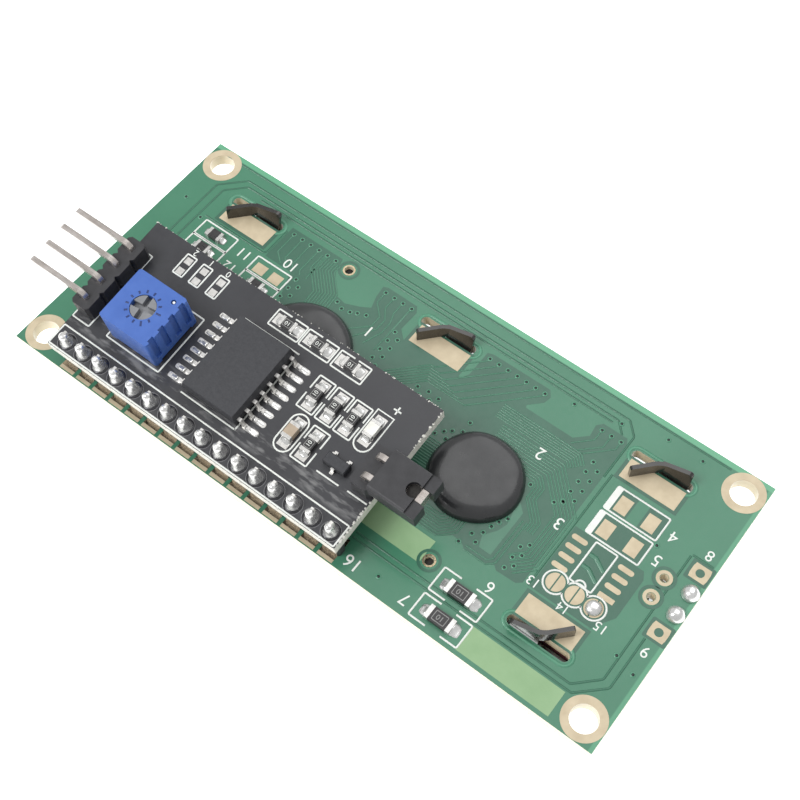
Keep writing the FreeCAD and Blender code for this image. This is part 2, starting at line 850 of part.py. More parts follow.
# Clip: two leaves that hold the pins, folded round at the outer end into a strip that shows in the slot
def make_clip():
    x, y, z = cap_frame()
    inner = pin_width / 2 + clip_gap
    outer = inner + clip_thick
    wide = cell_half_width() - clip_cell_gap
    start = x + cap_wall + clip_cell_gap
    end = x + cap_length - cap_step_length - clip_cell_gap
    leaves = [box(start, end, y - wide, y + wide, z + inner, z + outer),
              box(start, end, y - wide, y + wide, z - outer, z - inner)]
    narrow = cap_slot / 2 - clip_cell_gap
    fold = end + cap_step_length * 0.7
    rise = cap_height / 2 - cap_step - clip_cell_gap
    loop = box(end - clip_thick, fold, y - narrow, y + narrow, z - outer, z - inner)
    wall = box(fold - clip_thick, fold, y - narrow, y + narrow, z - outer, z + rise)
    roof = box(end + 2 * clip_cell_gap, fold, y - narrow, y + narrow, z + rise - clip_thick, z + rise)
    upper = box(end - clip_thick, fold, y - narrow, y + narrow, z + inner, z + outer)
    return leaves[1].fuse([loop, wall, roof, upper, leaves[0]]).removeSplitter()


def make_transistor_body():
    x, y = spot(transistor_spot)
    z0 = adapter_top_z + transistor_gap
    body = middle_box(x, y, transistor_length, transistor_width, z0, adapter_top_z + transistor_height)
    top_edges = level_edges(body, adapter_top_z + transistor_height)
    return body.makeChamfer(transistor_gap, top_edges)


def make_transistor_leads():
    x, y = spot(transistor_spot)
    shoulder = transistor_gap + (transistor_height - transistor_gap) / 2
    half = transistor_pitch / 2
    leads = []
    for shift, way in ((-half, 1), (half, 1), (0, -1)):
        leads.append(gull_lead(x + shift, y, way, transistor_width / 2, transistor_span / 2,
                               transistor_foot, transistor_lead_thick, transistor_lead_breadth, shoulder, True))
    return leads


export("main_board", make_main_board())
export("bezel", make_bezel())
export("front_polarizer", make_film(film_length, front_film_width, cell_front_z))
cell_length = bezel_length - 2 * sheet - 2 * cell_gap
cell_width = bezel_width - 2 * sheet - 2 * cell_gap
export("front_glass", make_glass(cell_length, cell_width, front_glass_z))
export("rear_glass", make_glass(cell_length, rear_glass_width, rear_glass_z))
export("rear_polarizer", make_film(film_length, tray_width, rear_film_z))
export("diffuser_film", make_film(film_length, tray_width, diffuser_z))
export("zebra_strips", make_zebra_strips())
export("backlight_tray", make_tray())
export("light_guide", make_guide())
leads = lead_paths(0.0)
export("backlight_led", led_bar_box(0.0).cut(leads))
export("backlight_leads", leads)
export("controller_dies", make_dies())
export("epoxy_blobs", make_blobs())
export("small_resistor_bodies", [chip_body(x, y, small_chip, 0, False) for x, y in small_chip_places])
export("small_resistor_ends", joined(chip_ends(x, y, small_chip, 0, False) for x, y in small_chip_places))
export("large_resistor_bodies", [chip_body(x, y, large_chip, 0, False) for x, y in large_chip_places])
export("large_resistor_ends", joined(chip_ends(x, y, large_chip, 0, False) for x, y in large_chip_places))

lead_joints = []
for x, y in lead_places():
    cone = solder_cone(x, y, 0, lead_joint_height, lead_joint_d, joint_top_d, 1)
    lead_joints.append(cone.cut(leads))
export("backlight_solder", lead_joints)
export("option_solder", solder_cone(*bridge_place, 0, bridge_height, bridge_d, joint_top_d, 1))

row_pins = make_row_pins()
row_strip = header_block(row_places(), True, row_strip_width, row_strip_corner, 0, adapter_bottom_z)
export("row_header_strip", row_strip.cut(leaned(adapter_slab())))
export("row_header_pins", row_pins)
back_joints = []
front_joints = []
for x, y in row_places():
    pin = square_pin(x, y, front_z - row_pin_front - 1, adapter_top_z + row_pin_back + 1)
    back_joint = leaned([solder_cone(x, y, adapter_top_z, joint_height, joint_d, joint_top_d, 1)])[0]
    back_joints.append(back_joint.cut(pin))
    front_joints.append(solder_cone(x, y, front_z, joint_front_height, joint_d, joint_top_d, -1).cut(pin))
export("row_solder_back", back_joints)
export("row_solder_front", front_joints)

export("adapter_board", leaned(make_adapter_board()))
export("underside_solder", leaned(make_underside_joints()))
export("expander_body", leaned(make_expander_body()))
export("expander_leads", leaned(make_expander_leads()))
export("trimmer_housing", leaned(make_trimmer_housing()))
export("trimmer_element", leaned(make_trimmer_element()))
export("trimmer_pins", leaned(make_trimmer_pins()))
export("trimmer_rotor", leaned(make_rotor()))
export("trimmer_wiper", leaned(make_wiper()))

bus_places = header_places(bus_spot, bus_count)
jumper_places = header_places(jumper_spot, jumper_count)
block_top_z = adapter_top_z + header_height
bus_block = header_block(bus_places, False, strip_width, strip_corner, adapter_top_z, block_top_z)
export("bus_header_block", leaned(bus_block))
export("bus_header_pins", leaned([bent_pin(x, y, -1, bus_reach) for x, y in bus_places]))
jumper_block = header_block(jumper_places, False, strip_width, strip_corner, adapter_top_z, block_top_z)
export("jumper_header_block", leaned(jumper_block))
export("jumper_header_pins", leaned([bent_pin(x, y, 1, jumper_reach) for x, y in jumper_places]))
export("jumper_cap", leaned(make_jumper_cap()))
export("jumper_clip", leaned(make_clip()))

lying = [spot(place) for place in lying_chip_spots]
standing = [spot(place) for place in standing_chip_spots]
bodies = [chip_body(x, y, small_chip, adapter_top_z, False) for x, y in lying]
bodies += [chip_body(x, y, small_chip, adapter_top_z, True) for x, y in standing]
ends = joined(chip_ends(x, y, small_chip, adapter_top_z, False) for x, y in lying)
ends += joined(chip_ends(x, y, small_chip, adapter_top_z, True) for x, y in standing)
export("adapter_resistor_bodies", leaned(bodies))
export("adapter_resistor_ends", leaned(ends))
export("capacitor_body", leaned(chip_body(*spot(capacitor_spot), capacitor_chip, adapter_top_z, True)))
export("capacitor_ends", leaned(chip_ends(*spot(capacitor_spot), capacitor_chip, adapter_top_z, True)))
export("power_led_body", leaned(chip_body(*spot(led_spot), led_chip, adapter_top_z, True)))
export("power_led_ends", leaned(chip_ends(*spot(led_spot), led_chip, adapter_top_z, True)))
export("transistor_body", leaned(make_transistor_body()))
export("transistor_leads", leaned(make_transistor_leads()))
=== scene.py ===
import math
import random

import bpy
from mathutils import Matrix, Vector


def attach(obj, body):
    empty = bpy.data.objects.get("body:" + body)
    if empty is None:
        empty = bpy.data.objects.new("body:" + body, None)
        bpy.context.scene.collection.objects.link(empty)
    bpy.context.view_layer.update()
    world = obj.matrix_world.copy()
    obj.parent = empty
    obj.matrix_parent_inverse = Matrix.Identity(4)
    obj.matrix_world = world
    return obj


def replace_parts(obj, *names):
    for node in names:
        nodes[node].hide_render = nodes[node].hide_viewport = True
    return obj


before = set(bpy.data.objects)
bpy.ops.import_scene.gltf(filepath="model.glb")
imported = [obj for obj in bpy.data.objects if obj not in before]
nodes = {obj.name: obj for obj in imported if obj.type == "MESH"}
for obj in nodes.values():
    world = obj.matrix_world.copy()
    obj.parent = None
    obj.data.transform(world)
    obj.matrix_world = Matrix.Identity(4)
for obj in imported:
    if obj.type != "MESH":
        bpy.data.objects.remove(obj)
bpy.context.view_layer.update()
mm = 0.001
print("frame loaded,", len(nodes), "nodes")


# Sizes shared with the model, in mm. Zero height is the back face of the main board.
boards = {"topZ": 0.0, "frontZ": -1.6, "adapterTop": 4.14, "adapterX": -33.95, "adapterY": -17.5, "ink": 0.025}

# the adapter leans about the middle of its pin row
adapterLean = {"pivot": (0, -16.2, 3.34), "degrees": 6.5}
leanPivot = Vector(adapterLean["pivot"]) * mm
leanTurn = (Matrix.Translation(leanPivot) @ Matrix.Rotation(math.radians(adapterLean["degrees"]), 4, "X")
            @ Matrix.Translation(-leanPivot))


def tone(red, green, blue):  # a colour as a screen shows it, made linear
    channels = []
    for value in (red, green, blue):
        part = value / 255
        channels.append(part / 12.92 if part <= 0.04045 else ((part + 0.055) / 1.055) ** 2.4)
    return (*channels, 1.0)


def feed(tree, node, inputs):  # an input is a value, or a socket to join
    for label, source in inputs.items():
        if isinstance(source, bpy.types.NodeSocket):
            tree.links.new(source, node.inputs[label])
        else:
            node.inputs[label].default_value = source


def nodeMaker(tree, prefix="ShaderNode"):
    def make(kind, inputs=None, **settings):
        node = tree.nodes.new(prefix + kind)
        for name, value in settings.items():
            setattr(node, name, value)
        feed(tree, node, inputs or {})
        return node.outputs
    return make


def calc(make, kind, *values):
    return make("Math", dict(enumerate(values)), operation=kind)[0]


def mixTones(make, factor, one, two):
    return make("Mix", {0: factor, 6: one, 7: two}, data_type="RGBA")[2]


# shader groups
def makeGroup(name, inputs, outputs):
    group = bpy.data.node_groups.new(name, "ShaderNodeTree")
    for label, value in inputs.items():
        kind = {3: "Vector", 4: "Color"}[len(value)] if isinstance(value, tuple) else "Float"
        group.interface.new_socket(label, in_out="INPUT", socket_type="NodeSocket" + kind).default_value = value
    for label, kind in outputs.items():
        group.interface.new_socket(label, in_out="OUTPUT", socket_type="NodeSocket" + kind)
    return group, group.nodes.new("NodeGroupInput").outputs, group.nodes.new("NodeGroupOutput"), nodeMaker(group)


def makeMottle():  # two tones that drift into each other over the surface
    group, given, end, make = makeGroup(
        "mottle", {"Tone": (0.5, 0.5, 0.5, 1), "Other": (0.4, 0.4, 0.4, 1), "Scale": 400.0, "Spread": 0.25},
        {"Color": "Color", "Mask": "Float"})
    coords = make("TexCoord")["Object"]
    cloud = make("TexNoise", {"Vector": coords, "Scale": given["Scale"], "Detail": 4})
    span = make("MapRange", {"Value": cloud[0], "From Min": calc(make, "SUBTRACT", 0.5, given["Spread"]),
                             "From Max": calc(make, "ADD", 0.5, given["Spread"])})[0]
    feed(group, end, {"Color": mixTones(make, span, given["Tone"], given["Other"]), "Mask": span})
    return group


def makeGrain():  # fine relief and the roughness that goes with it
    group, given, end, make = makeGroup(
        "grain", {"Scale": 3000.0, "Low": 0.35, "High": 0.5, "Stretch": (1, 1, 1)},
        {"Roughness": "Float", "Height": "Float"})
    coords = make("TexCoord")["Object"]
    turn = make("VectorMath", {0: coords, 1: given["Stretch"]}, operation="MULTIPLY")
    fine = make("TexNoise", {"Vector": turn[0], "Scale": given["Scale"], "Detail": 3})
    span = make("MapRange", {"Value": fine[0], "From Min": 0.3, "From Max": 0.7, "To Min": given["Low"],
                             "To Max": given["High"]})
    feed(group, end, {"Roughness": span[0], "Height": fine[0]})
    return group


def makeCutEdge():  # 1 on the sawn sides and hole walls of a board, 0 on its faces
    group, given, end, make = makeGroup("cutEdge", {"Scale": 900.0}, {"Mask": "Float", "Layers": "Float"})
    split = make("SeparateXYZ", {0: make("NewGeometry")["True Normal"]})
    mask = calc(make, "LESS_THAN", calc(make, "ABSOLUTE", split[2]), 0.6)
    coords = make("TexCoord")["Object"]
    squeeze = make("VectorMath", {0: coords, 1: (0.15, 0.15, 6.0)}, operation="MULTIPLY")
    layers = make("TexNoise", {"Vector": squeeze[0], "Scale": given["Scale"]})
    feed(group, end, {"Mask": mask, "Layers": layers[0]})
    return group


groups = {"mottle": makeMottle(), "grain": makeGrain(), "cutEdge": makeCutEdge()}


# materials
def finish(name, main, other, rough=(0.35, 0.5), metal=0.0, coat=0.0, scale=900, spread=0.25,
           grainScale=3000.0, relief=0.02, stretch=(1, 1, 1)):
    mat = bpy.data.materials.new(name)
    mat.use_nodes = True
    tree = mat.node_tree
    make = nodeMaker(tree)
    mottle = make("Group", {"Tone": tone(*main), "Other": tone(*other), "Scale": scale, "Spread": spread},
                  node_tree=groups["mottle"])
    grain = make("Group", {"Scale": grainScale, "Low": rough[0], "High": rough[1], "Stretch": stretch},
                 node_tree=groups["grain"])
    bump = make("Bump", {"Strength": 0.6, "Distance": relief * mm, "Height": grain["Height"]})
    feed(tree, tree.nodes["Principled BSDF"], {
        "Base Color": mottle["Color"], "Roughness": grain["Roughness"], "Normal": bump[0], "Metallic": metal,
        "Coat Weight": coat, "Coat Roughness": 0.12})
    mat.diffuse_color = tone(*main)
    return mat


def openFinish(mat):  # what a finish's own pattern is made from
    make = nodeMaker(mat.node_tree)
    base = mat.node_tree.nodes["Principled BSDF"].inputs["Base Color"].links[0].from_socket
    coords = make("TexCoord")["Object"]
    return make, base, coords, make("SeparateXYZ", {0: coords})


def sawnEdges(make, face, scale, tones):  # cut edges show the laminate
    edge = make("Group", {"Scale": scale}, node_tree=groups["cutEdge"])
    sawn = mixTones(make, edge["Layers"], *[tone(*colour) for colour in tones])
    return mixTones(make, edge["Mask"], face, sawn)


def recolour(mat, colour):
    feed(mat.node_tree, mat.node_tree.nodes["Principled BSDF"], {"Base Color": colour})
    return mat


# colours as they look in soft light
looks = {"mask": (54, 112, 86), "maskOther": (65, 124, 97), "maskRimBareAndLit": (92, 160, 124),
         "maskSawn": ((214, 202, 170), (238, 228, 204)), "trace": (62, 114, 91), "traceOther": (70, 123, 99),
         "gap": (43, 88, 70), "gapOther": (50, 98, 78), "black": (38, 38, 42), "blackOther": (52, 53, 57),
         "blackSawn": ((188, 186, 176), (236, 234, 226))}


def boardMask():
    mat = finish("greenMask", looks["mask"], looks["maskOther"], (0.28, 0.4), coat=0.25,
                 scale=90, spread=0.3, grainScale=1500, relief=0.012)
    make, base, coords, split = openFinish(mat)
    # a lighter rim along the upper side and the far end, partly for having no copper behind it and partly painted
    # light that comes in through the sawn edge: axis, start, stop, strength
    bareLitRims = []
    for axis, start, stop, strength in ((1, 17.25, 17.38, 1.0), (0, 39.45, 39.6, 0.6)):
        bareLitRims.append(make("MapRange", {"Value": split[axis], "From Min": start * mm, "From Max": stop * mm,
                                      "To Max": strength})[0])
    withBareLitRim = mixTones(make, calc(make, "MAXIMUM", *bareLitRims), base, tone(*looks["maskRimBareAndLit"]))
    return recolour(mat, sawnEdges(make, withBareLitRim, 900.0, looks["maskSawn"]))


def adapterMask():  # with streaks of flux beside the pin row
    smudge = {"from": -14.0, "to": -12.4, "fadeIn": 0.5, "fadeOut": 0.9, "scale": 1500.0, "detail": 6,
              "stretch": (0.3, 1.0, 1.0), "cut": (0.5, 0.66), "strength": 0.5, "tone": (142, 142, 142)}
    mat = finish("blackMask", looks["black"], looks["blackOther"], (0.3, 0.42), coat=0.2,
                 scale=120, spread=0.3, grainScale=1700, relief=0.012)
    make, base, coords, split = openFinish(mat)
    turn = make("VectorMath", {0: coords, 1: smudge["stretch"]}, operation="MULTIPLY")
    streaks = make("TexNoise", {"Vector": turn[0], "Scale": smudge["scale"], "Detail": smudge["detail"]})
    band = make("MapRange", {"Value": streaks[0], "From Min": smudge["cut"][0], "From Max": smudge["cut"][1],
                             "To Max": smudge["strength"]})[0]
    for limit, other in ((smudge["from"] - smudge["fadeIn"], smudge["from"]),
                         (smudge["to"] + smudge["fadeOut"], smudge["to"])):
        fade = make("MapRange", {"Value": split[1], "From Min": limit * mm, "From Max": other * mm})
        band = calc(make, "MULTIPLY", band, fade[0])
    smeared = mixTones(make, band, base, tone(*smudge["tone"]))
    return recolour(mat, sawnEdges(make, smeared, 1100.0, looks["blackSawn"]))


def screenFilm():  # dark blue film with rows of faint dots under it
    screen = {"cells": (16, 2), "cellPitch": (3.55, 5.94), "dots": (5, 8), "dotPitch": (0.60, 0.70),
              "dotFill": 0.92, "middle": (0.1, 0.5), "dotTone": (70, 92, 168), "dotStrength": 0.35}
    mat = finish("screenFilm", (26, 40, 110), (30, 46, 122), (0.08, 0.14), coat=0.6,
                 scale=60, spread=0.35, grainScale=900, relief=0.002)
    make, base, coords, split = openFinish(mat)
    masks = []
    for axis in (0, 1):
        cells, pitch = screen["cells"][axis], screen["cellPitch"][axis]
        dots, step = screen["dots"][axis], screen["dotPitch"][axis]
        along = calc(make, "DIVIDE", split[axis], pitch * mm)
        along = calc(make, "ADD", along, cells / 2 - screen["middle"][axis] / pitch)
        inside = calc(make, "MULTIPLY", calc(make, "FRACT", along), pitch / step)
        masks += [calc(make, "GREATER_THAN", along, 0), calc(make, "LESS_THAN", along, cells),
                  calc(make, "LESS_THAN", inside, dots),
                  calc(make, "LESS_THAN", calc(make, "FRACT", inside), screen["dotFill"])]
    faint = screen["dotStrength"]
    for mask in masks:
        faint = calc(make, "MULTIPLY", faint, mask)
    return recolour(mat, mixTones(make, faint, base, tone(*screen["dotTone"])))


mats = {
    "mask": boardMask(),
    "adapter": adapterMask(),
    "film": screenFilm(),
    "trace": finish("coveredCopper", looks["trace"], looks["traceOther"], (0.26, 0.38), coat=0.25, scale=300,
        grainScale=1500, relief=0.01),
    "pad": finish("barePad", (202, 188, 160), (184, 169, 141), (0.35, 0.55), metal=0.1, scale=700,
        grainScale=2500, relief=0.01),
    "gap": finish("bareUnderMask", looks["gap"], looks["gapOther"], (0.28, 0.4), coat=0.25, scale=150,
        grainScale=1500, relief=0.012),
    "halo": finish("paleMask", (74, 134, 106), (84, 144, 116), (0.3, 0.42), coat=0.2, scale=250),
    "seam": finish("maskSeam", (48, 99, 77), (54, 107, 84), (0.3, 0.42), coat=0.2, scale=250),
    "padMetal": finish("padMetal", (196, 178, 150), (178, 160, 132), (0.18, 0.3), metal=1.0),
    "panel": finish("bareLaminate", (140, 172, 130), (128, 162, 119), (0.4, 0.55), scale=300),
    "fibre": finish("rawFibre", (206, 205, 198), (186, 185, 178), (0.6, 0.8), scale=1200),
    "footDark": finish("solderFoot", (44, 44, 47), (62, 62, 65), (0.15, 0.3), metal=0.4),
    "viaHole": finish("viaHole", (16, 36, 29), (22, 44, 36), (0.3, 0.4)),
    "ringGrey": finish("padRingGrey", (92, 92, 95), (112, 112, 114), (0.25, 0.4)),
    "ringPale": finish("glazeFrame", (150, 150, 148), (128, 128, 127), (0.4, 0.5)),
    "tick": finish("dialMarks", (26, 46, 98), (34, 54, 108), (0.4, 0.5)),
    "white": finish("whiteDot", (226, 230, 236), (214, 218, 226), (0.4, 0.5)),
    "ink": finish("whiteInk", (232, 234, 230), (214, 218, 212), (0.5, 0.7), scale=1500, spread=0.4,
        grainScale=5000, relief=0.006),
    "steel": finish("blackSteel", (26, 25, 25), (42, 40, 38), (0.16, 0.3), metal=0.25, coat=0.8, scale=700,
        grainScale=2500),
    "epoxy": finish("epoxyBlack", (30, 31, 33), (42, 43, 45), (0.26, 0.42), coat=0.4, scale=250, spread=0.4,
        grainScale=700, relief=0.08),
    "solder": finish("brightSolder", (238, 238, 236), (206, 206, 205), (0.16, 0.34), metal=0.8,
        grainScale=1400, relief=0.03),
    "tin": finish("dullTin", (224, 223, 220), (196, 194, 190), (0.26, 0.42), metal=0.8, scale=1200,
        grainScale=4000, relief=0.01),
    "nickel": finish("nickelPin", (206, 200, 196), (172, 164, 158), (0.2, 0.36), metal=0.85, scale=600,
        relief=0.008, stretch=(0.1, 1, 1)),
    "block": finish("blockPlastic", (38, 38, 41), (50, 50, 53), (0.38, 0.55), scale=800, grainScale=2600),
    "chip": finish("chipPlastic", (42, 43, 47), (54, 55, 59), (0.5, 0.68), scale=2200, spread=0.35,
        grainScale=5200, relief=0.03),
    "blue": finish("trimmerBlue", (56, 92, 166), (66, 102, 176), (0.34, 0.48), scale=500, grainScale=2600,
        relief=0.015),
    "grey": finish("rotorGrey", (130, 131, 134), (112, 114, 118), (0.35, 0.5), grainScale=2600, relief=0.012),
    "ceramic": finish("ceramicPlate", (226, 224, 216), (216, 214, 206), (0.5, 0.6)),
    "resistor": finish("resistorGlaze", (38, 37, 38), (50, 49, 50), (0.25, 0.4), scale=1500, relief=0.01),
    "chipEnd": finish("chipEnds", (222, 221, 218), (188, 187, 184), (0.2, 0.35), metal=0.8, scale=1600,
        grainScale=3500),
    "capTan": finish("capacitorTan", (158, 142, 122), (172, 156, 136), (0.4, 0.55), scale=1500),
    "lamp": finish("lampWhite", (236, 236, 230), (214, 213, 204), (0.3, 0.45)),
    "rubber": finish("contactRubber", (214, 130, 140), (60, 60, 62), (0.5, 0.6), scale=1200),
    "tray": finish("trayWhite", (240, 240, 238), (232, 232, 230), (0.4, 0.5), scale=300),
    "guide": finish("lightGuide", (226, 232, 236), (218, 226, 232), (0.15, 0.25), scale=300),
    "glass": finish("screenGlass", (60, 76, 120), (52, 68, 112), (0.05, 0.1), coat=0.5, scale=200),
    "die": finish("dieGrey", (90, 94, 110), (100, 104, 120), (0.2, 0.3), scale=2000),
    # dark paint that stands in for the shade inside holes
    "dark": finish("holeDark", (24, 22, 20), (34, 30, 26), (0.6, 0.8)),
}

finishes = {
    "mask": ["main_board"], "adapter": ["adapter_board"], "film": ["front_polarizer"],
    "glass": ["front_glass", "rear_glass", "rear_polarizer"], "tray": ["diffuser_film", "backlight_tray"],
    "guide": ["light_guide"], "rubber": ["zebra_strips"], "lamp": ["backlight_led", "power_led_body"],
    "steel": ["bezel"], "epoxy": ["epoxy_blobs"], "die": ["controller_dies"],
    "resistor": ["small_resistor_bodies", "large_resistor_bodies", "adapter_resistor_bodies"],
    "chipEnd": ["small_resistor_ends", "large_resistor_ends", "adapter_resistor_ends", "capacitor_ends",
                "power_led_ends"],
    "solder": ["backlight_solder", "option_solder", "row_solder_back", "row_solder_front", "underside_solder"],
    "tin": ["backlight_leads", "expander_leads", "transistor_leads", "trimmer_pins", "row_header_pins"],
    "nickel": ["bus_header_pins", "jumper_header_pins", "jumper_clip", "trimmer_wiper"],
    "block": ["row_header_strip", "bus_header_block", "jumper_header_block", "jumper_cap"],
    "chip": ["expander_body", "transistor_body"], "blue": ["trimmer_housing"], "grey": ["trimmer_rotor"],
    "ceramic": ["trimmer_element"], "capTan": ["capacitor_body"],
}
for key, names in finishes.items():
    for name in names:
        piece = nodes[name]
        piece.data.materials.clear()
        piece.data.materials.append(mats[key])
print("materials made:", len(mats))


# makers of meshes
def meshObject(name, points, faces, edges=()):
    data = bpy.data.meshes.new(name)
    data.from_pydata([tuple(value * mm for value in point) for point in points], list(edges), faces)
    data.update()
    piece = bpy.data.objects.new(name, data)
    bpy.context.scene.collection.objects.link(piece)
    return piece


def dress(piece, key, body="module", smooth=False, lean=False):
    if lean:  # pieces on the adapter lean with it
        piece.data.transform(leanTurn)
    piece.data.materials.clear()
    piece.data.materials.append(mats[key])
    if smooth:
        piece.data.shade_smooth()
    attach(piece, body)
    return piece


def slab(outlines, z0, z1):  # upright prisms on any simple outline, turned anticlockwise
    points, faces = [], []
    for outline in outlines:
        area = sum(a[0] * b[1] - b[0] * a[1] for a, b in zip(outline, outline[1:] + outline[:1]))
        outline = outline if area > 0 else outline[::-1]
        first, count = len(points), len(outline)
        points += [(x, y, z0) for x, y in outline] + [(x, y, z1) for x, y in outline]
        faces.append([first + index for index in reversed(range(count))])
        faces.append([first + count + index for index in range(count)])
        for index in range(count):
            after = (index + 1) % count
            faces.append([first + index, first + after, first + count + after, first + count + index])
    return points, faces


def ringFaces(sides):  # four points at each step: inner low, inner high, outer low, outer high
    faces = []
    for index in range(sides):
        a, b = index * 4, (index + 1) % sides * 4
        faces += [[a + 1, a + 3, b + 3, b + 1], [a, b, b + 2, a + 2],
                  [a, a + 1, b + 1, b], [a + 2, b + 2, b + 3, a + 3]]
    return faces


def washer(x, y, inner, outer, z0, z1, sides=32, clip=None):
    points = []
    for index in range(sides):
        angle = math.tau * index / sides
        for radius in (inner, outer):
            px, py = x + radius * math.cos(angle), y + radius * math.sin(angle)
            if clip:
                px = max(-clip[0], min(clip[0], px))
                py = max(-clip[1], min(clip[1], py))
            points += [(px, py, z0), (px, py, z1)]
    return points, ringFaces(sides)


def rounded(x, y, width, height, radius, steps=4):
    outline = []
    for cx, cy, start in ((1, 1, 0), (-1, 1, 90), (-1, -1, 180), (1, -1, 270)):
        for index in range(steps + 1):
            angle = math.radians(start + 90 * index / steps)
            outline.append((x + cx * (width / 2 - radius) + radius * math.cos(angle),
                            y + cy * (height / 2 - radius) + radius * math.sin(angle)))
    return outline


def box(x, y, width, height):
    return [(x - width / 2, y - height / 2), (x + width / 2, y - height / 2),
            (x + width / 2, y + height / 2), (x - width / 2, y + height / 2)]


def holedBox(x, y, width, height, hole, z0, z1, sides=16):  # a rectangle with a round hole
    points = []
    for index in range(sides):
        angle = math.tau * index / sides
        across, up = math.cos(angle), math.sin(angle)
        reach = min(width / 2 / max(abs(across), 1e-6), height / 2 / max(abs(up), 1e-6))
        for radius in (hole, reach):
            points += [(x + radius * across, y + radius * up, z0), (x + radius * across, y + radius * up, z1)]
    return points, ringFaces(sides)


def filletShape(length, width, height):  # a concave wedge, highest at its start
    points, faces = [], []
    steps, across = 5, 6
    for row in range(steps + 1):
        t = row / steps
        half = width / 2 * (1 - 0.35 * t * t)
        rise = height * (1 - t) ** 1.6 + 0.02
        points += [(length * t, -half, 0)]
        for column in range(across + 1):
            u = column / across * 2 - 1
            points.append((length * t, half * u, rise * max(0.05, 1 - u * u) ** 0.5))
        points += [(length * t, half, 0)]
    ring = across + 3
    for row in range(steps):
        for column in range(ring):
            a, b = row * ring + column, row * ring + (column + 1) % ring
            faces.append([b, a, a + ring, b + ring])
    faces.append(list(range(ring)))
    faces.append([steps * ring + index for index in reversed(range(ring))])
    return points, faces


def merged(parts):
    points, faces = [], []
    for morePoints, moreFaces in parts:
        base = len(points)
        points += morePoints
        faces += [[base + index for index in face] for face in moreFaces]
    return points, faces


def turned(profile, sides):  # a closed solid of revolution, from the foot's middle to the top
    points, faces = [(0, 0, profile[0][1])], []
    for radius, z in profile:
        for index in range(sides):
            angle = math.tau * index / sides
            points.append((radius * math.cos(angle), radius * math.sin(angle), z))
    for index in range(sides):
        faces.append([0, 1 + (index + 1) % sides, 1 + index])
    for ring in range(len(profile) - 1):
        for index in range(sides):
            a = 1 + ring * sides + index
            b = 1 + ring * sides + (index + 1) % sides
            faces.append([a, b, b + sides, a + sides])
    top = 1 + (len(profile) - 1) * sides
    points.append((0, 0, profile[-1][1]))
    for index in range(sides):
        faces.append([top + index, top + (index + 1) % sides, len(points) - 1])
    return points, faces


# geometry nodes
def newTree(name, inputs):
    tree = bpy.data.node_groups.new(name, "GeometryNodeTree")
    for side in ("INPUT", "OUTPUT"):
        tree.interface.new_socket("Geometry", in_out=side, socket_type="NodeSocketGeometry")
    for label, kind in inputs.items():
        tree.interface.new_socket(label, in_out="INPUT", socket_type="NodeSocket" + kind)
    start, end = tree.nodes.new("NodeGroupInput"), tree.nodes.new("NodeGroupOutput")
    return tree, start.outputs, end, nodeMaker(tree, "GeometryNode")


def makeRibbonTree():  # flat strips with rounded bends along the edges of a mesh
    tree, given, end, make = newTree("ribbon", {"Width": "Float", "Height": "Float", "Corner": "Float",
                                                "Material": "Material"})
    curve = make("MeshToCurve", {0: given["Geometry"]})
    fillet = make("FilletCurve", {"Curve": curve[0], "Count": 3, "Radius": given["Corner"],
                                  "Limit Radius": True}, mode="POLY")
    upright = make("SetCurveNormal", {"Curve": fillet[0]}, mode="Z_UP")
    section = make("CurvePrimitiveQuadrilateral", {"Width": given["Width"], "Height": given["Height"]})
    strip = make("CurveToMesh", {"Curve": upright[0], "Profile Curve": section[0], "Fill Caps": True})
    real = make("RealizeInstances", {0: strip[0]})
    paint = make("SetMaterial", {"Geometry": real[0], "Material": given["Material"]})
    feed(tree, end, {"Geometry": paint[0]})
    return tree


def makeScatterTree():  # one shape set on every point, each a little uneven
    tree, given, end, make = newTree("scatter", {"Shape": "Object", "Uneven": "Float", "Lump Size": "Float",
                                                 "Seed": "Float", "Material": "Material"})
    shade = nodeMaker(tree)
    shape = make("ObjectInfo", {"Object": given["Shape"]})
    turn = make("InputNamedAttribute", {"Name": "turn"}, data_type="FLOAT_VECTOR")
    grow = make("InputNamedAttribute", {"Name": "grow"}, data_type="FLOAT_VECTOR")
    copies = make("InstanceOnPoints", {"Points": given["Geometry"], "Instance": shape["Geometry"],
                                       "Rotation": turn[0], "Scale": grow[0]})
    real = make("RealizeInstances", {0: copies[0]})
    lumps = shade("TexNoise", {"Vector": make("InputPosition")[0], "Scale": given["Lump Size"],
                               "W": given["Seed"], "Detail": 1}, noise_dimensions="4D")
    centre = shade("VectorMath", {0: lumps["Color"], 1: (0.5, 0.5, 0.5)}, operation="SUBTRACT")
    amount = shade("VectorMath", {0: centre[0], "Scale": given["Uneven"]}, operation="SCALE")
    shift = make("SetPosition", {"Geometry": real[0], "Offset": amount[0]})
    paint = make("SetMaterial", {"Geometry": shift[0], "Material": given["Material"]})
    feed(tree, end, {"Geometry": paint[0]})
    return tree


trees = {"ribbon": makeRibbonTree(), "scatter": makeScatterTree()}


def grown(piece, treeName, values):  # runs a tree on a piece and keeps the result as its plain mesh
    tree = trees[treeName]
    modifier = piece.modifiers.new(treeName, "NODES")
    modifier.node_group = tree
    for item in tree.interface.items_tree:
        if item.item_type == "SOCKET" and item.in_out == "INPUT" and item.name in values:
            modifier[item.identifier] = values[item.name]
    bpy.context.view_layer.update()
    ready = piece.evaluated_get(bpy.context.evaluated_depsgraph_get())
    data = bpy.data.meshes.new_from_object(ready)
    piece.modifiers.remove(modifier)
    piece.data = data
    data.name = piece.name
    return piece


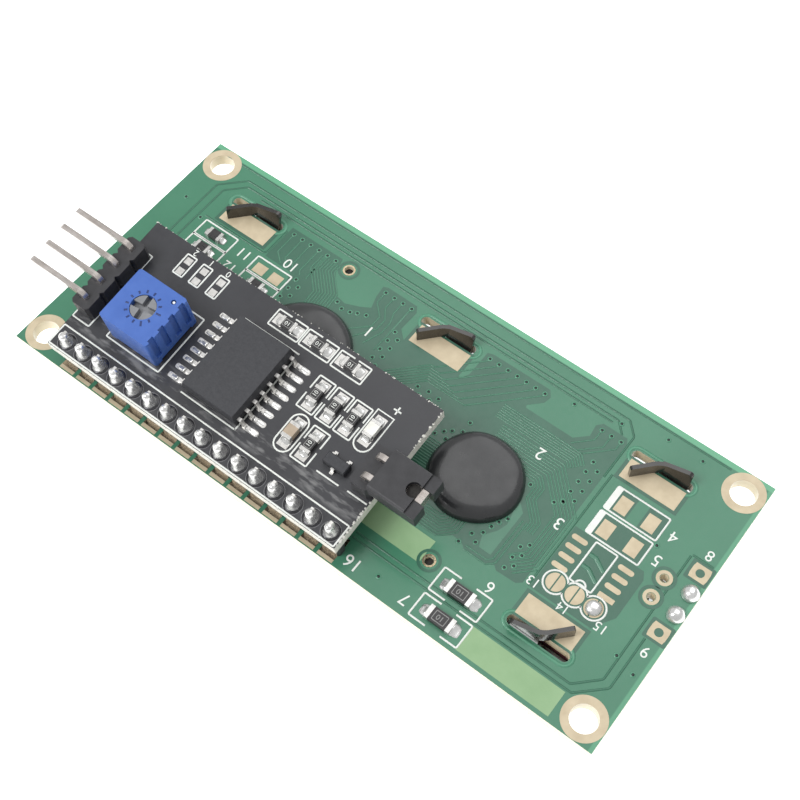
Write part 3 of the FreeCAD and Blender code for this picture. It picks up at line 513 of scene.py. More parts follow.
# a path is a list of (x, y), closed if its ends meet
def ribbons(name, paths, z, width, key, corner=0.0, height=None, lean=False):
    height = height or boards["ink"]
    points, edges = [], []
    for path in paths:
        closed = path[0] == path[-1]
        path = path[:-1] if closed else path
        first = len(points)
        points += [(x, y, z) for x, y in path]
        edges += [(first + index, first + index + 1) for index in range(len(path) - 1)]
        if closed:
            edges.append((len(points) - 1, first))
    piece = meshObject(name, points, [], edges)
    grown(piece, "ribbon", {"Width": width * mm, "Height": height * 2 * mm, "Corner": corner * mm,
                            "Material": mats[key]})
    return dress(piece, key, lean=lean)


# a spot is (x, y, z), or (x, y, z, turn about z, (grow x, y, z))
def scattered(name, shape, spots, key, uneven=0.0, lump=1.0, seed=1, lean=False):
    template = meshObject(name + "Shape", *shape)
    template.data.shade_smooth()
    piece = meshObject(name, [spot[:3] for spot in spots], [])
    turn = piece.data.attributes.new("turn", "FLOAT_VECTOR", "POINT")
    grow = piece.data.attributes.new("grow", "FLOAT_VECTOR", "POINT")
    for index, spot in enumerate(spots):
        turn.data[index].vector = (0, 0, math.radians(spot[3]) if len(spot) > 3 else 0)
        grow.data[index].vector = spot[4] if len(spot) > 4 else (1, 1, 1)
    grown(piece, "scatter", {"Shape": template, "Uneven": uneven * mm, "Lump Size": 1000 / lump,
                             "Seed": float(seed), "Material": mats[key]})
    bpy.data.objects.remove(template)
    return dress(piece, key, lean=lean)


def numbers(name, labels, z, key, lean=False):  # plain numbers: (text, x, y, height, turn)
    parts = []
    for text, x, y, height, turn in labels:
        curve = bpy.data.curves.new(name, "FONT")
        curve.body = text
        curve.size = height * mm * 1.4  # the letter size that gives digits of this height
        curve.align_x = "CENTER"
        curve.align_y = "CENTER"
        curve.extrude = boards["ink"] * mm
        curve.resolution_u = 3
        holder = bpy.data.objects.new(name, curve)
        bpy.context.scene.collection.objects.link(holder)
        bpy.context.view_layer.update()
        data = bpy.data.meshes.new_from_object(holder)
        place = Matrix.Translation((x * mm, y * mm, z * mm))
        data.transform(place @ Matrix.Rotation(math.radians(turn), 4, "Z"))
        bpy.data.objects.remove(holder)
        parts.append(([tuple(v / mm for v in vertex.co) for vertex in data.vertices],
                      [list(face.vertices) for face in data.polygons]))
    return dress(meshObject(name, *merged(parts)), key, lean=lean)


def bundle(path, count, pitch):  # parallel lines, each one further to the right of the first
    lines = []
    for number in range(count):
        line = []
        for index, (x, y) in enumerate(path):
            normals = []
            for a, b in ((index - 1, index), (index, index + 1)):
                if a >= 0 and b < len(path):
                    dx, dy = path[b][0] - path[a][0], path[b][1] - path[a][1]
                    length = math.hypot(dx, dy)
                    normals.append((dy / length, -dx / length))
            nx, ny = sum(n[0] for n in normals), sum(n[1] for n in normals)
            size = (nx * nx + ny * ny) / len(normals)
            line.append((x + nx / size * pitch * number, y + ny / size * pitch * number))
        lines.append(line)
    return lines


def circle(x, y, radius, start=0, sweep=360, steps=24):
    path = []
    for index in range(steps + 1):
        angle = math.radians(start + sweep * index / steps)
        path.append((x + radius * math.cos(angle), y + radius * math.sin(angle)))
    if sweep == 360:
        path[-1] = path[0]
    return path


def frameBox(x0, y0, x1, y1):
    return [(x0, y0), (x1, y0), (x1, y1), (x0, y1), (x0, y0)]


def plates(name, outlines, z0, z1, key, **more):  # flat shapes on any outlines
    return dress(meshObject(name, *slab(outlines, z0, z1)), key, **more)


def pooled(name, parts, key, **more):  # many parts as one piece
    return dress(meshObject(name, *merged(parts)), key, **more)


# main board
top = boards["topZ"]

# how high flat layers reach over a face: those that overlap differ, so that neither flickers through the other
heights = {"field": 0.008, "seam": 0.012, "wideTrack": 0.014, "halo": 0.015, "panel": 0.015, "island": 0.016,
           "gapRing": 0.017, "track": 0.021, "footprint": 0.023, "ring": 0.024, "rowPad": 0.024,
           "ink": boards["ink"], "pad": 0.026, "bar": 0.026, "arc": 0.029, "frame": 0.008, "adapterPad": 0.02}
widths = {"seam": 0.26, "track": 0.17, "wideTrack": 0.55, "halo": 0.4, "ink": 0.21, "arc": 0.21}
mainBoard = {"holes": [(37.5, 15.5), (37.5, -15.5), (-37.5, 15.5), (-37.5, -15.5)], "holeRadius": 1.55,
             "ringRadius": 2.45, "ringHeight": 0.02, "ringLimit": (39.97, 17.97),
             "pins": 16, "rowFirst": -32, "pitch": 2.54, "rowY": -16.2}


def onBoard(name, outlines, layer, key):
    return plates(name, outlines, top, top + heights[layer], key)


def linesOnBoard(name, paths, layer, key, corner=0):
    return ribbons(name, paths, top, widths[layer], key, corner, heights[layer])


def ringsOnBoard(name, spots, radii, layer, key, sides=24):
    parts = [washer(x, y, *radii, top, top + heights[layer], sides) for x, y in spots]
    return pooled(name, parts, key)


ringParts = []
for z0 in (top, boards["frontZ"] - mainBoard["ringHeight"]):
    for x, y in mainBoard["holes"]:
        ringParts.append(washer(x, y, mainBoard["holeRadius"], mainBoard["ringRadius"], z0,
                                z0 + mainBoard["ringHeight"], 48, mainBoard["ringLimit"]))
pooled("mountRings", ringParts, "pad")

# pads: y, width and height, or width and height with the y below and above the middle
pads = {"row": (-16, 2.04, 2.8), "edge": (-17.63, 2.04, 0.44), "slot": (7, 2.6), "slotY": (-9.25, 10.4),
        "slotField": (7.9, 3.3), "fieldY": (-9.2, 10.35)}
rowSpots = [(mainBoard["rowFirst"] + mainBoard["pitch"] * index, mainBoard["rowY"])
            for index in range(mainBoard["pins"])]
slots = [(x, y) for y in (12.4, -11.4) for x in (29.1, 0.3, -28.9)]
onBoard("rowPads", [box(x, *pads["row"]) for x, y in rowSpots], "rowPad", "padMetal")
padOutlines = [box(x, *pads["edge"]) for x, y in rowSpots]
padOutlines += [box(x, pads["slotY"][y > 0], *pads["slot"]) for x, y in slots]
onBoard("boardPads", padOutlines, "pad", "pad")

# copper-free fields look darker under the mask
fields = [
    [(-13.9, 8.9), (-12.3, 8.6), (-10.6, 9.3), (-9.4, 10), (-9.9, 11.6), (-10.1, 13.2), (-9.5, 13.45),
     (-5.2, 13.4), (-4.7, 12.6), (-4.8, 9.8), (-3.6, 8.7), (4.6, 8.7), (5.1, 9.6), (5.1, 13.2), (5.8, 13.45),
     (13.6, 13.5), (14.2, 12.7), (14, 11.7), (12.6, 10.3), (12.7, 9.95), (19, 9.95), (20.4, 11.3),
     (20.2, 12.8), (20.8, 13.5), (23.9, 13.5), (24.3, 12.8), (24.4, -7.4), (23.8, -7.9), (21.4, -8),
     (20.9, -7.6), (20.2, -8), (17.2, -8), (16.6, -7.6), (15.4, -7.5), (14, -8.7), (5.5, -8.8),
     (5.5, 0), (-12, 0), (-13.9, 3)],
    [(-24.2, 13.4), (-16.4, 13.4), (-15.9, 11.4), (-13.9, 9.1), (-13.9, 3), (-18, 3), (-19.5, 6),
     (-20.2, 8.2), (-24.2, 8.2)],
    [(25.2, 1.3), (33.8, 1.3), (34.3, 0.4), (34.3, -4.8), (33.4, -6.2), (32.8, -7.3), (25.2, -7.3)],
    [(26.4, 1.5), (32.9, 1.5), (32.9, 4.6), (26.4, 4.6)], [(27, 5), (29, 5), (29, 8), (27, 8)],
    [(30.4, 5), (32.8, 5), (32.8, 8), (30.4, 8)]]
fields += [box(x, pads["fieldY"][y > 0], *pads["slotField"]) for x, y in slots]
fields += [rounded(38.6, -3.45, 2.7, 2.5, 0.2), rounded(38.55, 4.65, 2.7, 2.5, 0.2)]
onBoard("darkFields", fields, "field", "gap")
island = [(18.6, 0.3), (19.9, -0.9), (19.9, -6.9), (18.4, -6.9), (17.9, -5.6), (18.9, -4.2), (19.3, -3)]
onBoard("copperIslands", [island], "island", "trace")

# plated holes and rivets, with their inner and outer radii, and the radius and depth of the painted shade in the
# rivets' holes
holes = {"spots": [(35.9, 1.95), (35.9, -0.65)], "rivets": [(-14.8, 12.6), (15.15, -11.35)], "gap": (1, 1.35),
         "ring": (0.52, 0.9), "rivetRing": (0.55, 0.76), "holeShadeRadius": 0.53, "holeShadeZ": (-1.5, -0.5)}
ringsOnBoard("gapRings", holes["spots"] + holes["rivets"], holes["gap"], "gapRing", "gap", 32)

gapPaths = [[(-36, 3.4), (-36, 12.8), (-33.2, 15.62), (22.9, 15.62), (24.4, 14.1), (24.4, 8)],
            [(-34.8, 3.4), (-34.8, 12.6), (-32.6, 14.85), (21.9, 14.85), (23.2, 13.5)],
            [(-34, 8.4), (-24.4, 8.4), (-24.4, 12.6)], [(-30, 14.25), (21.5, 14.25)],
            [(-39.2, 17.1), (35, 17.1)], [(36.8, 5.8), (36.8, -11), (34.4, -13.4), (7, -13.4)],
            [(37.8, -4.8), (37.8, -11.4), (35, -14.1), (7, -14.1)], [(25, 8.8), (25, -7.3)],
            [(36.9, 6), (39.4, 6)]]
linesOnBoard("copperGaps", gapPaths, "seam", "seam", 0.5)

# covered tracks, in bundles that turn by 45 degrees: the first line's path, lines, pitch
bundles = [([(10.6, 8.9), (20.9, 8.9), (22, 7.8)], 7, 0.3),
           ([(12, 6.6), (20.2, 6.6), (24.95, 1.85), (24.95, -5.2), (22.9, -7.25)], 7, 0.36),
           ([(16.4, 4), (19, 4), (20.1, 2.9), (20.1, 1.2), (22.1, -0.8), (22.1, -2.4)], 4, 0.32),
           ([(15.6, -5.2), (15.6, -7), (14, -8.6), (11, -8.6)], 8, 0.33),
           ([(20.4, -1.6), (20.4, -7.1), (19.9, -7.6), (17.2, -7.6)], 2, -0.5),
           ([(-16, 12.4), (-16, 11.3), (-13.7, 9), (-13.4, 5.6)], 9, 0.34)]
tracks = [line for path, count, pitch in bundles for line in bundle(path, count, pitch)]
for index in range(7):
    x, y, left = 5.8 + 1.27 * index, 8.0 - 0.33 * index, 0.9 + 0.14 * index
    tracks.append([(x, 12.5), (x - 0.2, 12.2), (x - 12.4 + y, y), (left, y), (left - y + 3.2, 3.2)])
tracks += [[(5.6, 0.5 - 0.33 * index), (8.6, 0.5 - 0.33 * index)] for index in range(13)]
tracks += [[(21.1, 12.4), (21.1, 11.2), (19.2, 9.3)], [(22.35, 12.4), (22.35, 11), (20.3, 9)],
           [(23.6, 12.4), (23.6, 11.6), (20.9, 8.9)]]
for index, x in enumerate((-9.3, -8.05, -6.8, -5.55)):
    across = x + 1.5 - 0.5 * index
    tracks.append([(x, 12.5), (x, 11), (across, 9.6), (across, 8), (x - 1.0 + 0.3 * index, 5.6)])
for index in range(5):
    x = -23.4 + 1.3 * index
    tracks.append([(x, 12.5), (x, 9.6 - 0.2 * index), (-22.1 + 1.0 * index, 8.5)])
linesOnBoard("boardTracks", tracks, "track", "trace", 0.25)

# wide tracks seen under the eight lead footprint
widePaths = [[(28.2, -0.5), (29, -0.5), (30.5, -1.4)], [(28.2, -2), (29, -2), (30.5, -2.9)]]
linesOnBoard("wideTracks", widePaths, "wideTrack", "trace", 0.3)

# a paler band of mask runs round each slot
half, radius = 3.2, 1.0
haloPaths = [circle(x + half, y, radius, -90, 180, 8) + circle(x - half, y, radius, 90, 180, 8)
             + [(x + half, y - radius)] for x, y in slots]
linesOnBoard("slotHalos", haloPaths, "halo", "halo")

footprints = [box(x, y, 1.5, 2.05) for y in (2.88, 6.35) for x in (28, 31.45)]
for index, y in enumerate((0.25, -1, -2.3, -3.6)):
    footprints += [rounded(26.45, y, 1.9, 0.62, 0.3), rounded(32.25, y, 1.9, 0.62, 0.05 if index == 3 else 0.3)]
footprints += [box(-23.4, 6.3, 1.6, 1.4), box(-21, 6.3, 1.6, 1.4)]
option = {"x": (27.1, 29.5, 31.85), "y": -5.3, "gap": 0.08, "width": 0.97, "height": 1.05, "ink": 1.35}
bow = [(option["gap"] + option["width"] * u, option["height"] * v) for u, v in circle(0, 0, 1, -90, 180, 12)]
for x in option["x"]:  # each option pad is two halves
    footprints += [[(x + side * dx, option["y"] + dy) for dx, dy in bow] for side in (-1, 1)]
onBoard("bareFootprints", footprints, "footprint", "pad")
holedPads = [holedBox(38.6, y, 2.05, 1.85, 0.5, top, top + heights["footprint"]) for y in (-3.45, 4.65)]
pooled("holedPads", holedPads, "pad")
ringsOnBoard("holeRings", holes["spots"], holes["ring"], "ring", "pad")
ringsOnBoard("rivetRings", holes["rivets"], holes["rivetRing"], "ring", "padMetal")
# a dark disc inside each rivet is painted shade in its hole
plates("rivetHoles", [circle(x, y, holes["holeShadeRadius"], steps=16)[:-1] for x, y in holes["rivets"]],
       *holes["holeShadeZ"], "dark")

# printed lines
inkPaths = [frameBox(26.35, y, 32.9, y + 3.1) for y in (1.45, 4.95)]
inkPaths += [[(28, 1.1), (30.7, 1.1), (30.7, -4.1), (28, -4.1), (28, 1.1)],
             circle(29.35, -4.1, 0.6, 0, 180, 10)]
for y0, y1 in ((-13.9, -10.9), (-17.35, -14.45)):
    inkPaths += [[(x0, y1), (x1, y1), (x1, y0), (x0, y0)] for x0, x1 in ((19.1, 16.95), (21, 23.1))]
for y0, y1 in ((5.5, 8), (3.15, 5.65)):
    inkPaths += [frameBox(-33.4, y0, -28.3, y1), frameBox(-24.8, y0 - 0.3, -19.6, y1 - 0.3)]
linesOnBoard("boardInk", inkPaths, "ink", "ink", 0.15)
arcs = [(27.1, 28, 304, 24), (29.5, 28, 124, 12), (29.5, 208, 124, 12), (31.85, -152, 304, 24)]
arcPaths = [circle(x, option["y"], option["ink"], start, sweep, steps) for x, start, sweep, steps in arcs]
linesOnBoard("boardInkCircles", arcPaths, "arc", "ink")
onBoard("boardInkBars", [box(26.68, 3, 0.65, 3.1), box(26.68, 6.5, 0.65, 3.1)], "bar", "ink")
onBoard("barePanels", [box(28.8, -15.95, 11.4, 3.1), box(9, -10.7, 10.8, 3)], "panel", "panel")

# vias as a ring with a dark middle that is painted shade in the via's hole: in rows, in zigzags and single
vias = {"ring": [(0.32, 0), (0.3, 0.032), (0.17, 0.036)], "middle": [(0.19, 0), (0.18, 0.045)], "rowY": 12.7,
        "rows": [(-23.4, 6, 1.3), (-9.3, 4, 1.27), (5.8, 7, 1.27), (21.1, 3, 1.25)],
        "zigzags": [(5, -19, -18.1, 7.75, -0.74), (8, -5.1, -4.2, 9, -0.71), (9, 22.5, 23.5, 8.8, -0.74),
                    (6, 22.6, 21.9, -3.5, -0.74)],
        "single": [(-13.1, 8.25), (-12.1, 7.8), (-11, 8), (-10.2, 8.4), (-9.2, 8.8), (1.4, 4.8), (2.8, 5),
                   (2.1, 4), (4.25, 4.9), (3.5, 4.15), (8.9, 4.6), (7.9, 2.6), (7.2, 2), (6.5, 1.2),
                   (8.9, 3.2), (7.9, 1.35), (18.6, 2.4), (21.8, 2.2), (22.6, 2.8), (19, -2.4), (18.45, -3.3),
                   (18.1, -4.2), (17.8, -5.3), (16.9, -6.1), (17.8, -6.7), (16.3, -7.7), (16.8, 13.6),
                   (22.4, 14.7), (27.6, 16.1), (32, 16.1), (33.3, 4.6), (36.5, -8.1), (38.9, -8.8), (12, -16),
                   (-37.8, 9.1), (-34.3, 7.8)]}
viaSpots = [(first + pitch * index, vias["rowY"], top) for first, count, pitch in vias["rows"]
            for index in range(count)]
for count, x0, x1, y0, step in vias["zigzags"]:
    viaSpots += [(x1 if index % 2 else x0, y0 + step * index, top) for index in range(count)]
viaSpots += [(x, y, top) for x, y in vias["single"]]
scattered("boardVias", turned(vias["ring"], 12), viaSpots, "halo")
# the dark middles are painted shade in the via holes
scattered("viaCentres", turned(vias["middle"], 8), viaSpots, "viaHole")

# plain running numbers in place of labels: x, y, height
labels = [(-7.6, 7.3, 1.5), (17.3, 6.2, 1.5), (23.6, 0.5, 1.5), (34.2, 6.5, 1.4), (34.2, 3.2, 1.4),
          (22, -9.9, 1.4), (15.7, -16.3, 1.4), (38.4, 7, 1.3), (38.6, -6, 1.3), (-20.8, 9, 1.4),
          (-26.4, 6.9, 1.4), (-26.6, 4.4, 1.3), (25.2, -6.6, 1.1), (29.3, -7.2, 1), (33.6, -6.6, 1.1),
          (8.9, -16.4, 1.5)]
numbers("boardNumbers", [(str(index + 1), *label, 180) for index, label in enumerate(labels)], top, "ink")

# solder at the ends of the chip resistors: x, y, half length, size
boardFillets = []
for x, y, half, size in ((-30.9, 6.7, 0.95, 0.8), (-30.9, 4.4, 0.95, 0.8), (-22.2, 4.1, 0.95, 0.8),
                         (20, -12.45, 1.55, 1.15), (20, -15.95, 1.55, 1.15)):
    boardFillets += [(x + half, y, top, 0, (size, size, 1)), (x - half, y, top, 180, (size * 0.85, size, 1))]
scattered("boardFillets", filletShape(0.85, 1.35, 0.5), boardFillets, "solder", uneven=0.2, lump=0.5, seed=21)

# the two large resistors carry a pale frame and a plain number
large = {"spots": [(20, -12.45), (20, -15.95)], "half": (0.75, 0.55), "digits": 0.62, "line": 0.09,
         "corner": 0.08,
         "top": max(corner.co.z for corner in nodes["large_resistor_bodies"].data.vertices) / mm}
halfX, halfY = large["half"]
largeFrames = [frameBox(x - halfX, y - halfY, x + halfX, y + halfY) for x, y in large["spots"]]
ribbons("largeFrames", largeFrames, large["top"], large["line"], "ringPale", large["corner"],
        heights["frame"])
numbers("largeNumbers", [("10", *spot, large["digits"], 180) for spot in large["spots"]], large["top"],
        "ringPale")
print("main board dressed,", len(viaSpots), "vias")


# epoxy drops: x, y, radius; the waves that make them uneven are count, size, start and step per drop
drops = {"spots": [(-12.6, 0.7, 6.25), (13.35, -0.5, 5.6)], "height": 1.35, "sides": 72, "shrink": 1.02,
         "waves": [(2, 0.012, 0, 2.1), (3, 0.008, 1, 1), (5, 0.005, 0, 3)], "dip": (0.035, 0.9, 0.8),
         "profile": [(1, 0), (1, 0.10), (0.985, 0.30), (0.955, 0.52), (0.91, 0.72), (0.85, 0.86),
                     (0.78, 0.95), (0.7, 1), (0.6, 1), (0.5, 0.975), (0.4, 0.94), (0.3, 0.905),
                     (0.2, 0.88), (0.1, 0.865), (0.03, 0.86)]}
dropParts = []
for number, (cx, cy, radius) in enumerate(drops["spots"]):
    points, faces = turned([(r * radius, z * drops["height"]) for r, z in drops["profile"]], drops["sides"])
    depth, alongX, alongY = drops["dip"]
    shaped = []
    for x, y, z in points:
        angle = math.atan2(y, x)
        swell = 1 + sum(size * math.sin(count * angle + start + number * step)
                        for count, size, start, step in drops["waves"])
        dip = depth * math.sin(x * alongX + number) * math.cos(y * alongY - number) * min(1, z)
        shaped.append((cx + x * swell / drops["shrink"], cy + y * swell / drops["shrink"], z + dip))
    dropParts.append((shaped, faces))
dropPiece = pooled("epoxyDrops", dropParts, "epoxy", smooth=True)
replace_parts(dropPiece, "epoxy_blobs")
print("epoxy drops made")


# solder: radius and height from the foot up, or down for the screen's side
solder = {"row": [(0.84, 0), (0.84, 0.05), (0.74, 0.25), (0.64, 0.6), (0.58, 0.98), (0.54, 1.35), (0.5, 1.6),
                  (0.4, 1.78), (0.23, 1.88), (0.08, 1.91)],
          "front": [(1, 0), (1, -0.06), (0.86, -0.25), (0.66, -0.45), (0.5, -0.72), (0.44, -1.1),
                    (0.4, -1.3), (0.2, -1.4), (0.08, -1.42)],
          "lead": [(1.02, 0), (1.02, 0.1), (0.92, 0.4), (0.72, 0.72), (0.45, 0.95), (0.18, 1.02)],
          "leadSpots": [(38.98, 2.1, top, 20, (0.98, 1.02, 1)), (38.98, -0.8, top, 140, (0.98, 1, 0.9))],
          "option": [(0.9, 0), (0.88, 0.15), (0.74, 0.38), (0.45, 0.52), (0.15, 0.56)]}
joints = [(x, y, boards["adapterTop"], index * 47 % 360, (1, 1, 0.96 + 0.03 * (index % 3)))
          for index, (x, y) in enumerate(rowSpots)]
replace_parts(scattered("rowSolder", turned(solder["row"], 24), joints, "solder", uneven=0.22, lump=0.9, seed=3,
                      lean=True), "row_solder_back")

points, faces = turned(solder["front"], 20)
shape = (points, [face[::-1] for face in faces])
joints = [(x, y, boards["frontZ"], index * 61 % 360, (1, 1, 1)) for index, (x, y) in enumerate(rowSpots)]
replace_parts(scattered("frontSolder", shape, joints, "solder", uneven=0.15, lump=0.9, seed=5), "row_solder_front")
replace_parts(scattered("leadSolder", turned(solder["lead"], 24), solder["leadSpots"], "solder", uneven=0.25,
                      lump=1.1, seed=8), "backlight_solder")
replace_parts(scattered("optionSolder", turned(solder["option"], 24), [(option["x"][2], option["y"], top)],
                      "solder", uneven=0.1, lump=1.4, seed=12), "option_solder")
print("solder made")


# adapter, measured from its own corner
ax, ay, at = boards["adapterX"], boards["adapterY"], boards["adapterTop"]
chips = {"spots": [(21.25, 17.3, 0), (25.65, 17.3, 0), (30.15, 17.35, 0), (29.15, 12.45, 90), (31.7, 12.45, 90),
                   (34.2, 12.45, 90), (32.25, 7.5, 90), (29.75, 7.5, 90), (36.7, 12.7, 90)], "resistors": 7,
         "pad": (1.2, 1.35), "padOut": 1.3, "filletOut": 0.93, "filletSizes": (1, 0.72)}
leads = {"y": [5.14 + 1.27 * index for index in range(8)],
         "pads": ((14.95, 1.9, 0.62, 0.2), (25.8, 2.3, 0.66, 0.3)),
         "fillets": ((25.3, 0, (1.9, 0.5, 0.6)), (15.35, 180, (1.3, 0.46, 0.5)))}
address = {"x": (6.5, 8.9, 11.45), "padY": (15.6, 17.1), "pad": (0.9, 0.85), "frame": (0.7, 15.05, 17.85),
           "digitY": 18.45, "digits": 0.8}


def onAdapter(path):
    return [(ax + x, ay + y) for x, y in path]


def across(pair, turn):  # a pair of measures on a chip that lies along x or y
    return pair if turn == 0 else pair[::-1]


# printed lines: boxes, hoods and brackets round the chips, single lines, capsules
inkLook = {"width": 0.19, "corner": 0.12,
           "boxes": [(0.15, 0.15, 41.3, 2.85), (0.1, 4.2, 2.6, 15.15), (5.1, 4.5, 12.95, 12.4)],
           "hoods": (21.2, 25.6, 30.15), "hoodX": (0.25, 2.08), "hoodY": (18.4, 16.2),
           "brackets": [(29.1, 12.5), (31.65, 12.5), (34.2, 12.5), (32.3, 7.5)], "bracket": (1.1, 0.3, 2.15),
           "lines": [[(24.45, 4.1), (24.45, 14.5)], [(16.6, 4.2), (24.5, 4.2)], [(16.6, 15.2), (24.5, 15.2)],
                     [(38.7, 5.8), (41.3, 5.8)], [(34.6, 5.7), (37.6, 5.7)], [(37, 16.1), (38, 16.1)],
                     [(37.5, 15.6), (37.5, 16.6)]]}
adapterInk = [frameBox(*corners) for corners in inkLook["boxes"]]
near, far = inkLook["hoodX"]
high, low = inkLook["hoodY"]
for x in inkLook["hoods"]:
    adapterInk.append([(x - near, high), (x - far, high), (x - far, low), (x + far, low), (x + far, high),
                       (x + near, high)])
half, near, far = inkLook["bracket"]
for x, y in inkLook["brackets"]:
    adapterInk += [[(x - half, y + near * side), (x - half, y + far * side), (x + half, y + far * side),
                    (x + half, y + near * side)] for side in (1, -1)]
half, low, high = address["frame"]
adapterInk += [frameBox(x - half, low, x + half, high) for x in address["x"]] + inkLook["lines"]
ribbons("adapterInk", [onAdapter(path) for path in adapterInk], at, inkLook["width"], "ink", inkLook["corner"],
        lean=True)
capsules = [circle(29.7, 6.15, 1.1, 180, 180, 10) + circle(29.7, 8.8, 1.1, 0, 180, 10) + [(28.6, 6.15)],
            circle(36.72, 11.1, 1.08, 180, 180, 10) + [(37.8, 15.1), (35.64, 15.1), (35.64, 11.1)]]
ribbons("adapterInkCurves", [onAdapter(path) for path in capsules], at, inkLook["width"], "ink", 0,
        heights["arc"], lean=True)

adapterPads = [box(x, y, *address["pad"]) for x in address["x"] for y in address["padY"]]
for y in leads["y"]:  # longer on the side where solder ran
    adapterPads += [rounded(x, y, *sizes) for x, *sizes in leads["pads"]]
for x, y, turn in chips["spots"]:
    for side in (-chips["padOut"], chips["padOut"]):
        dx, dy = across((side, 0), turn)
        adapterPads.append(box(x + dx, y + dy, *across(chips["pad"], turn)))
plates("adapterPads", [onAdapter(path) for path in adapterPads], at, at + heights["adapterPad"], "tin",
       lean=True)

# solder fillets where metal ends and leads meet their pads
fillets = []
for x, y, turn in chips["spots"]:
    for side, size in zip((0, 180), chips["filletSizes"]):
        angle = math.radians(turn + side)
        dx, dy = chips["filletOut"] * math.cos(angle), chips["filletOut"] * math.sin(angle)
        fillets.append((ax + x + dx, ay + y + dy, at, turn + side, (size, 1, 1)))
scattered("chipFillets", filletShape(0.8, 1.3, 0.5), fillets, "solder", uneven=0.2, lump=0.5, seed=12, lean=True)
fillets = [(ax + x, ay + y, at, turn, size) for y in leads["y"] for x, turn, size in leads["fillets"]]
scattered("leadFillets", filletShape(0.9, 1.3, 0.5), fillets, "solder", uneven=0.2, lump=0.55, seed=14,
          lean=True)

# the trimmer's moulded scale
dial = {"x": ax + 8.9, "y": ay + 8.4, "top": 9.04, "first": 8, "step": 27, "count": 13, "inner": 1.72,
        "outer": 2.12, "long": 2.35, "longOnes": (0, 11), "width": 0.22, "height": 0.012,
        "dotOut": 2.4, "dotRadius": 0.16, "dotDown": (0.8, 0.12)}
ticks = []
for index in range(dial["count"]):
    angle = math.radians(dial["first"] + dial["step"] * index)
    outer = dial["long"] if index in dial["longOnes"] else dial["outer"]
    ticks.append([(dial["x"] + r * math.cos(angle), dial["y"] + r * math.sin(angle))
                  for r in (dial["inner"], outer)])
ribbons("dialTicks", ticks, dial["top"], dial["width"], "tick", 0, dial["height"], lean=True)
dot = circle(dial["x"] + dial["dotOut"], dial["y"] + dial["dotOut"], dial["dotRadius"], steps=12)[:-1]
plates("trimmerDot", [dot], *[dial["top"] - down for down in dial["dotDown"]], "white", lean=True)

# a grey ring and a dark foot round each joint of the row
foot = {"ring": 1.12, "ringWidth": 0.09, "ringHeight": 0.016,
        "profile": [(1.06, 0), (1.02, 0.03), (0.86, 0.1), (0.7, 0.16)]}
ribbons("rowRings", [circle(x, y, foot["ring"]) for x, y in rowSpots], at, foot["ringWidth"], "ringGrey", 0,
        foot["ringHeight"], lean=True)
scattered("rowFeet", turned(foot["profile"], 24), [(x, y, at) for x, y in rowSpots], "footDark", uneven=0.05,
          lump=0.6, seed=17, lean=True)

# a dark disc in the cap's test hole: painted shade over the clip seen through it
testHole = {"x": 11.65, "y": -8.7, "radius": 0.83, "z": (8.05, 8.07)}
holeOutline = circle(testHole["x"], testHole["y"], testHole["radius"])[:-1]
plates("testHoleFloor", [holeOutline], *testHole["z"], "dark", body="jumper", lean=True)

# ragged fibres along the sawn edges of the adapter: right, far and near side
burr = {"perMm": 3.2, "seed": 7, "spread": 0.07, "inward": 0.4, "down": 0.03, "weights": (1, 0.55, 0.55),
        "length": (0.35, 1.3), "width": (0.5, 1.4), "height": 0.8,
        "sides": [((41.5, 0), (41.5, 19)), ((0, 19), (41.5, 19)), ((0, 0), (41.5, 0))]}
dice = random.Random(burr["seed"])
burrSpots = []
for number, ((x0, y0), (x1, y1)) in enumerate(burr["sides"]):
    weight = burr["weights"][number]
    for index in range(int(math.hypot(x1 - x0, y1 - y0) * burr["perMm"])):
        t = dice.random()
        x, y = ax + x0 + (x1 - x0) * t, ay + y0 + (y1 - y0) * t
        jitter = dice.uniform(-burr["spread"], burr["spread"] * burr["inward"]) * weight
        x, y = (x + jitter, y) if number == 0 else (x, y + (-jitter if number == 2 else jitter))
        size = dice.uniform(*burr["length"]) * weight
        burrSpots.append((x, y, at - burr["down"], dice.uniform(0, 360),
                          (size, size * dice.uniform(*burr["width"]), size * burr["height"])))
scattered("adapterFibres", turned([(0.17, -0.1), (0.16, 0.03), (0.07, 0.07)], 6), burrSpots, "fibre", uneven=0.1,
          lump=0.4, seed=31, lean=True)
addressLabels = [(text, ax + x, ay + address["digitY"], address["digits"], 180)
                 for text, x in zip("210", address["x"])]
numbers("adapterNumbers", addressLabels, at, "ink", lean=True)

# the resistors' glaze, with a pale frame and a plain number
glaze = {"size": (1.22, 1.04), "frame": (1.02, 0.84), "line": 0.07, "corner": 0.05, "foot": at + 0.5,
         "top": at + 0.575, "digits": 0.5}
glazes, glazeFrames, glazeNumbers = [], [], []
for x, y, turn in chips["spots"][:chips["resistors"]]:
    glazes.append(box(ax + x, ay + y, *across(glaze["size"], turn)))
    corners = box(ax + x, ay + y, *across(glaze["frame"], turn))
    glazeFrames.append(corners + corners[:1])
    glazeNumbers.append(("10", ax + x, ay + y, glaze["digits"], 180 if turn == 0 else 90))
plates("chipGlaze", glazes, glaze["foot"], glaze["top"], "resistor", lean=True)
ribbons("chipFrames", glazeFrames, glaze["top"], glaze["line"], "ringPale", glaze["corner"], heights["frame"],
        lean=True)
numbers("chipNumbers", glazeNumbers, glaze["top"], "ink", lean=True)
print("adapter dressed")


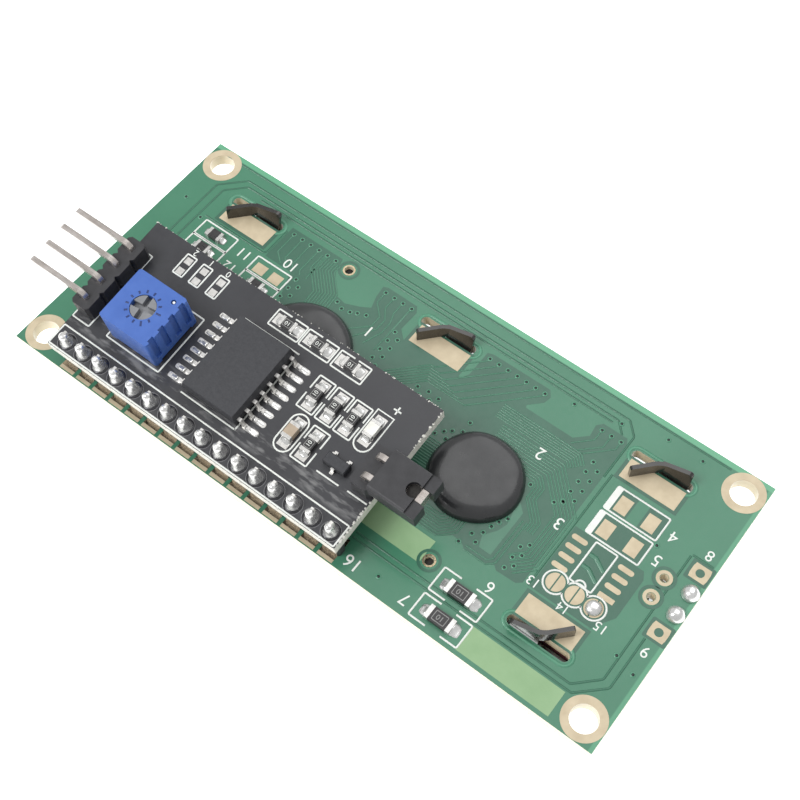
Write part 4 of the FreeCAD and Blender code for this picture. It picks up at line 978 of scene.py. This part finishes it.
# floor, light and camera
stageLook = {"world": 0.66, "key": 1.6, "fill": 0.8, "glow": 0.75, "floorHalf": 900, "floorZ": -8.72}
half, z = stageLook["floorHalf"], stageLook["floorZ"]
floor = meshObject("floor", [(x, y, z) for x, y in box(0, 0, 2 * half, 2 * half)], [[0, 1, 2, 3]])
paleFloor = finish("paleFloor", (250, 250, 250), (246, 246, 246), rough=(0.6, 0.8), scale=3, grainScale=200,
                   relief=0)
shader = paleFloor.node_tree.nodes["Principled BSDF"]
shader.inputs["Emission Color"].default_value = (1, 1, 1, 1)
shader.inputs["Emission Strength"].default_value = stageLook["glow"]
floor.data.materials.append(paleFloor)

scene = bpy.context.scene
scene.view_settings.view_transform = "Standard"
world = bpy.data.worlds.new("paleSky")
world.use_nodes = True
sky = world.node_tree.nodes["Background"].inputs
sky[0].default_value = (1, 1, 1, 1)
sky[1].default_value = stageLook["world"]
scene.world = world


def lamp(name, spot, size, power):  # aimed at the middle
    data = bpy.data.lights.new(name, "AREA")
    data.size = size
    data.energy = power
    light = bpy.data.objects.new(name, data)
    scene.collection.objects.link(light)
    light.location = spot
    light.rotation_euler = (-Vector(spot)).to_track_quat("-Z", "Y").to_euler()


lamp("keyLight", (-0.2, -0.24, 0.4), 0.24, stageLook["key"])
lamp("fillLight", (-0.02, 0.26, 0.4), 0.42, stageLook["fill"])

# the camera's place and its three directions as fitted to the photo, in metres
view = {"place": (0.046655, -0.054674, 0.1299), "lens": 59.5, "sensor": 36, "clip": (0.01, 10),
        "right": (0.7926586, 0.6095353, -0.0126116), "down": (0.5265257, -0.6948457, -0.4898573),
        "ahead": (-0.3073484, 0.3816493, -0.8717114)}
camera = bpy.data.objects.new("camera", bpy.data.cameras.new("camera"))
scene.collection.objects.link(camera)
camera.data.lens = view["lens"]
camera.data.sensor_width = view["sensor"]
camera.data.clip_start, camera.data.clip_end = view["clip"]
camera.matrix_world = Matrix.Translation(view["place"]) @ Matrix(
    (view["right"], -Vector(view["down"]), -Vector(view["ahead"]))).transposed().to_4x4()
scene.camera = camera
print("stage set")
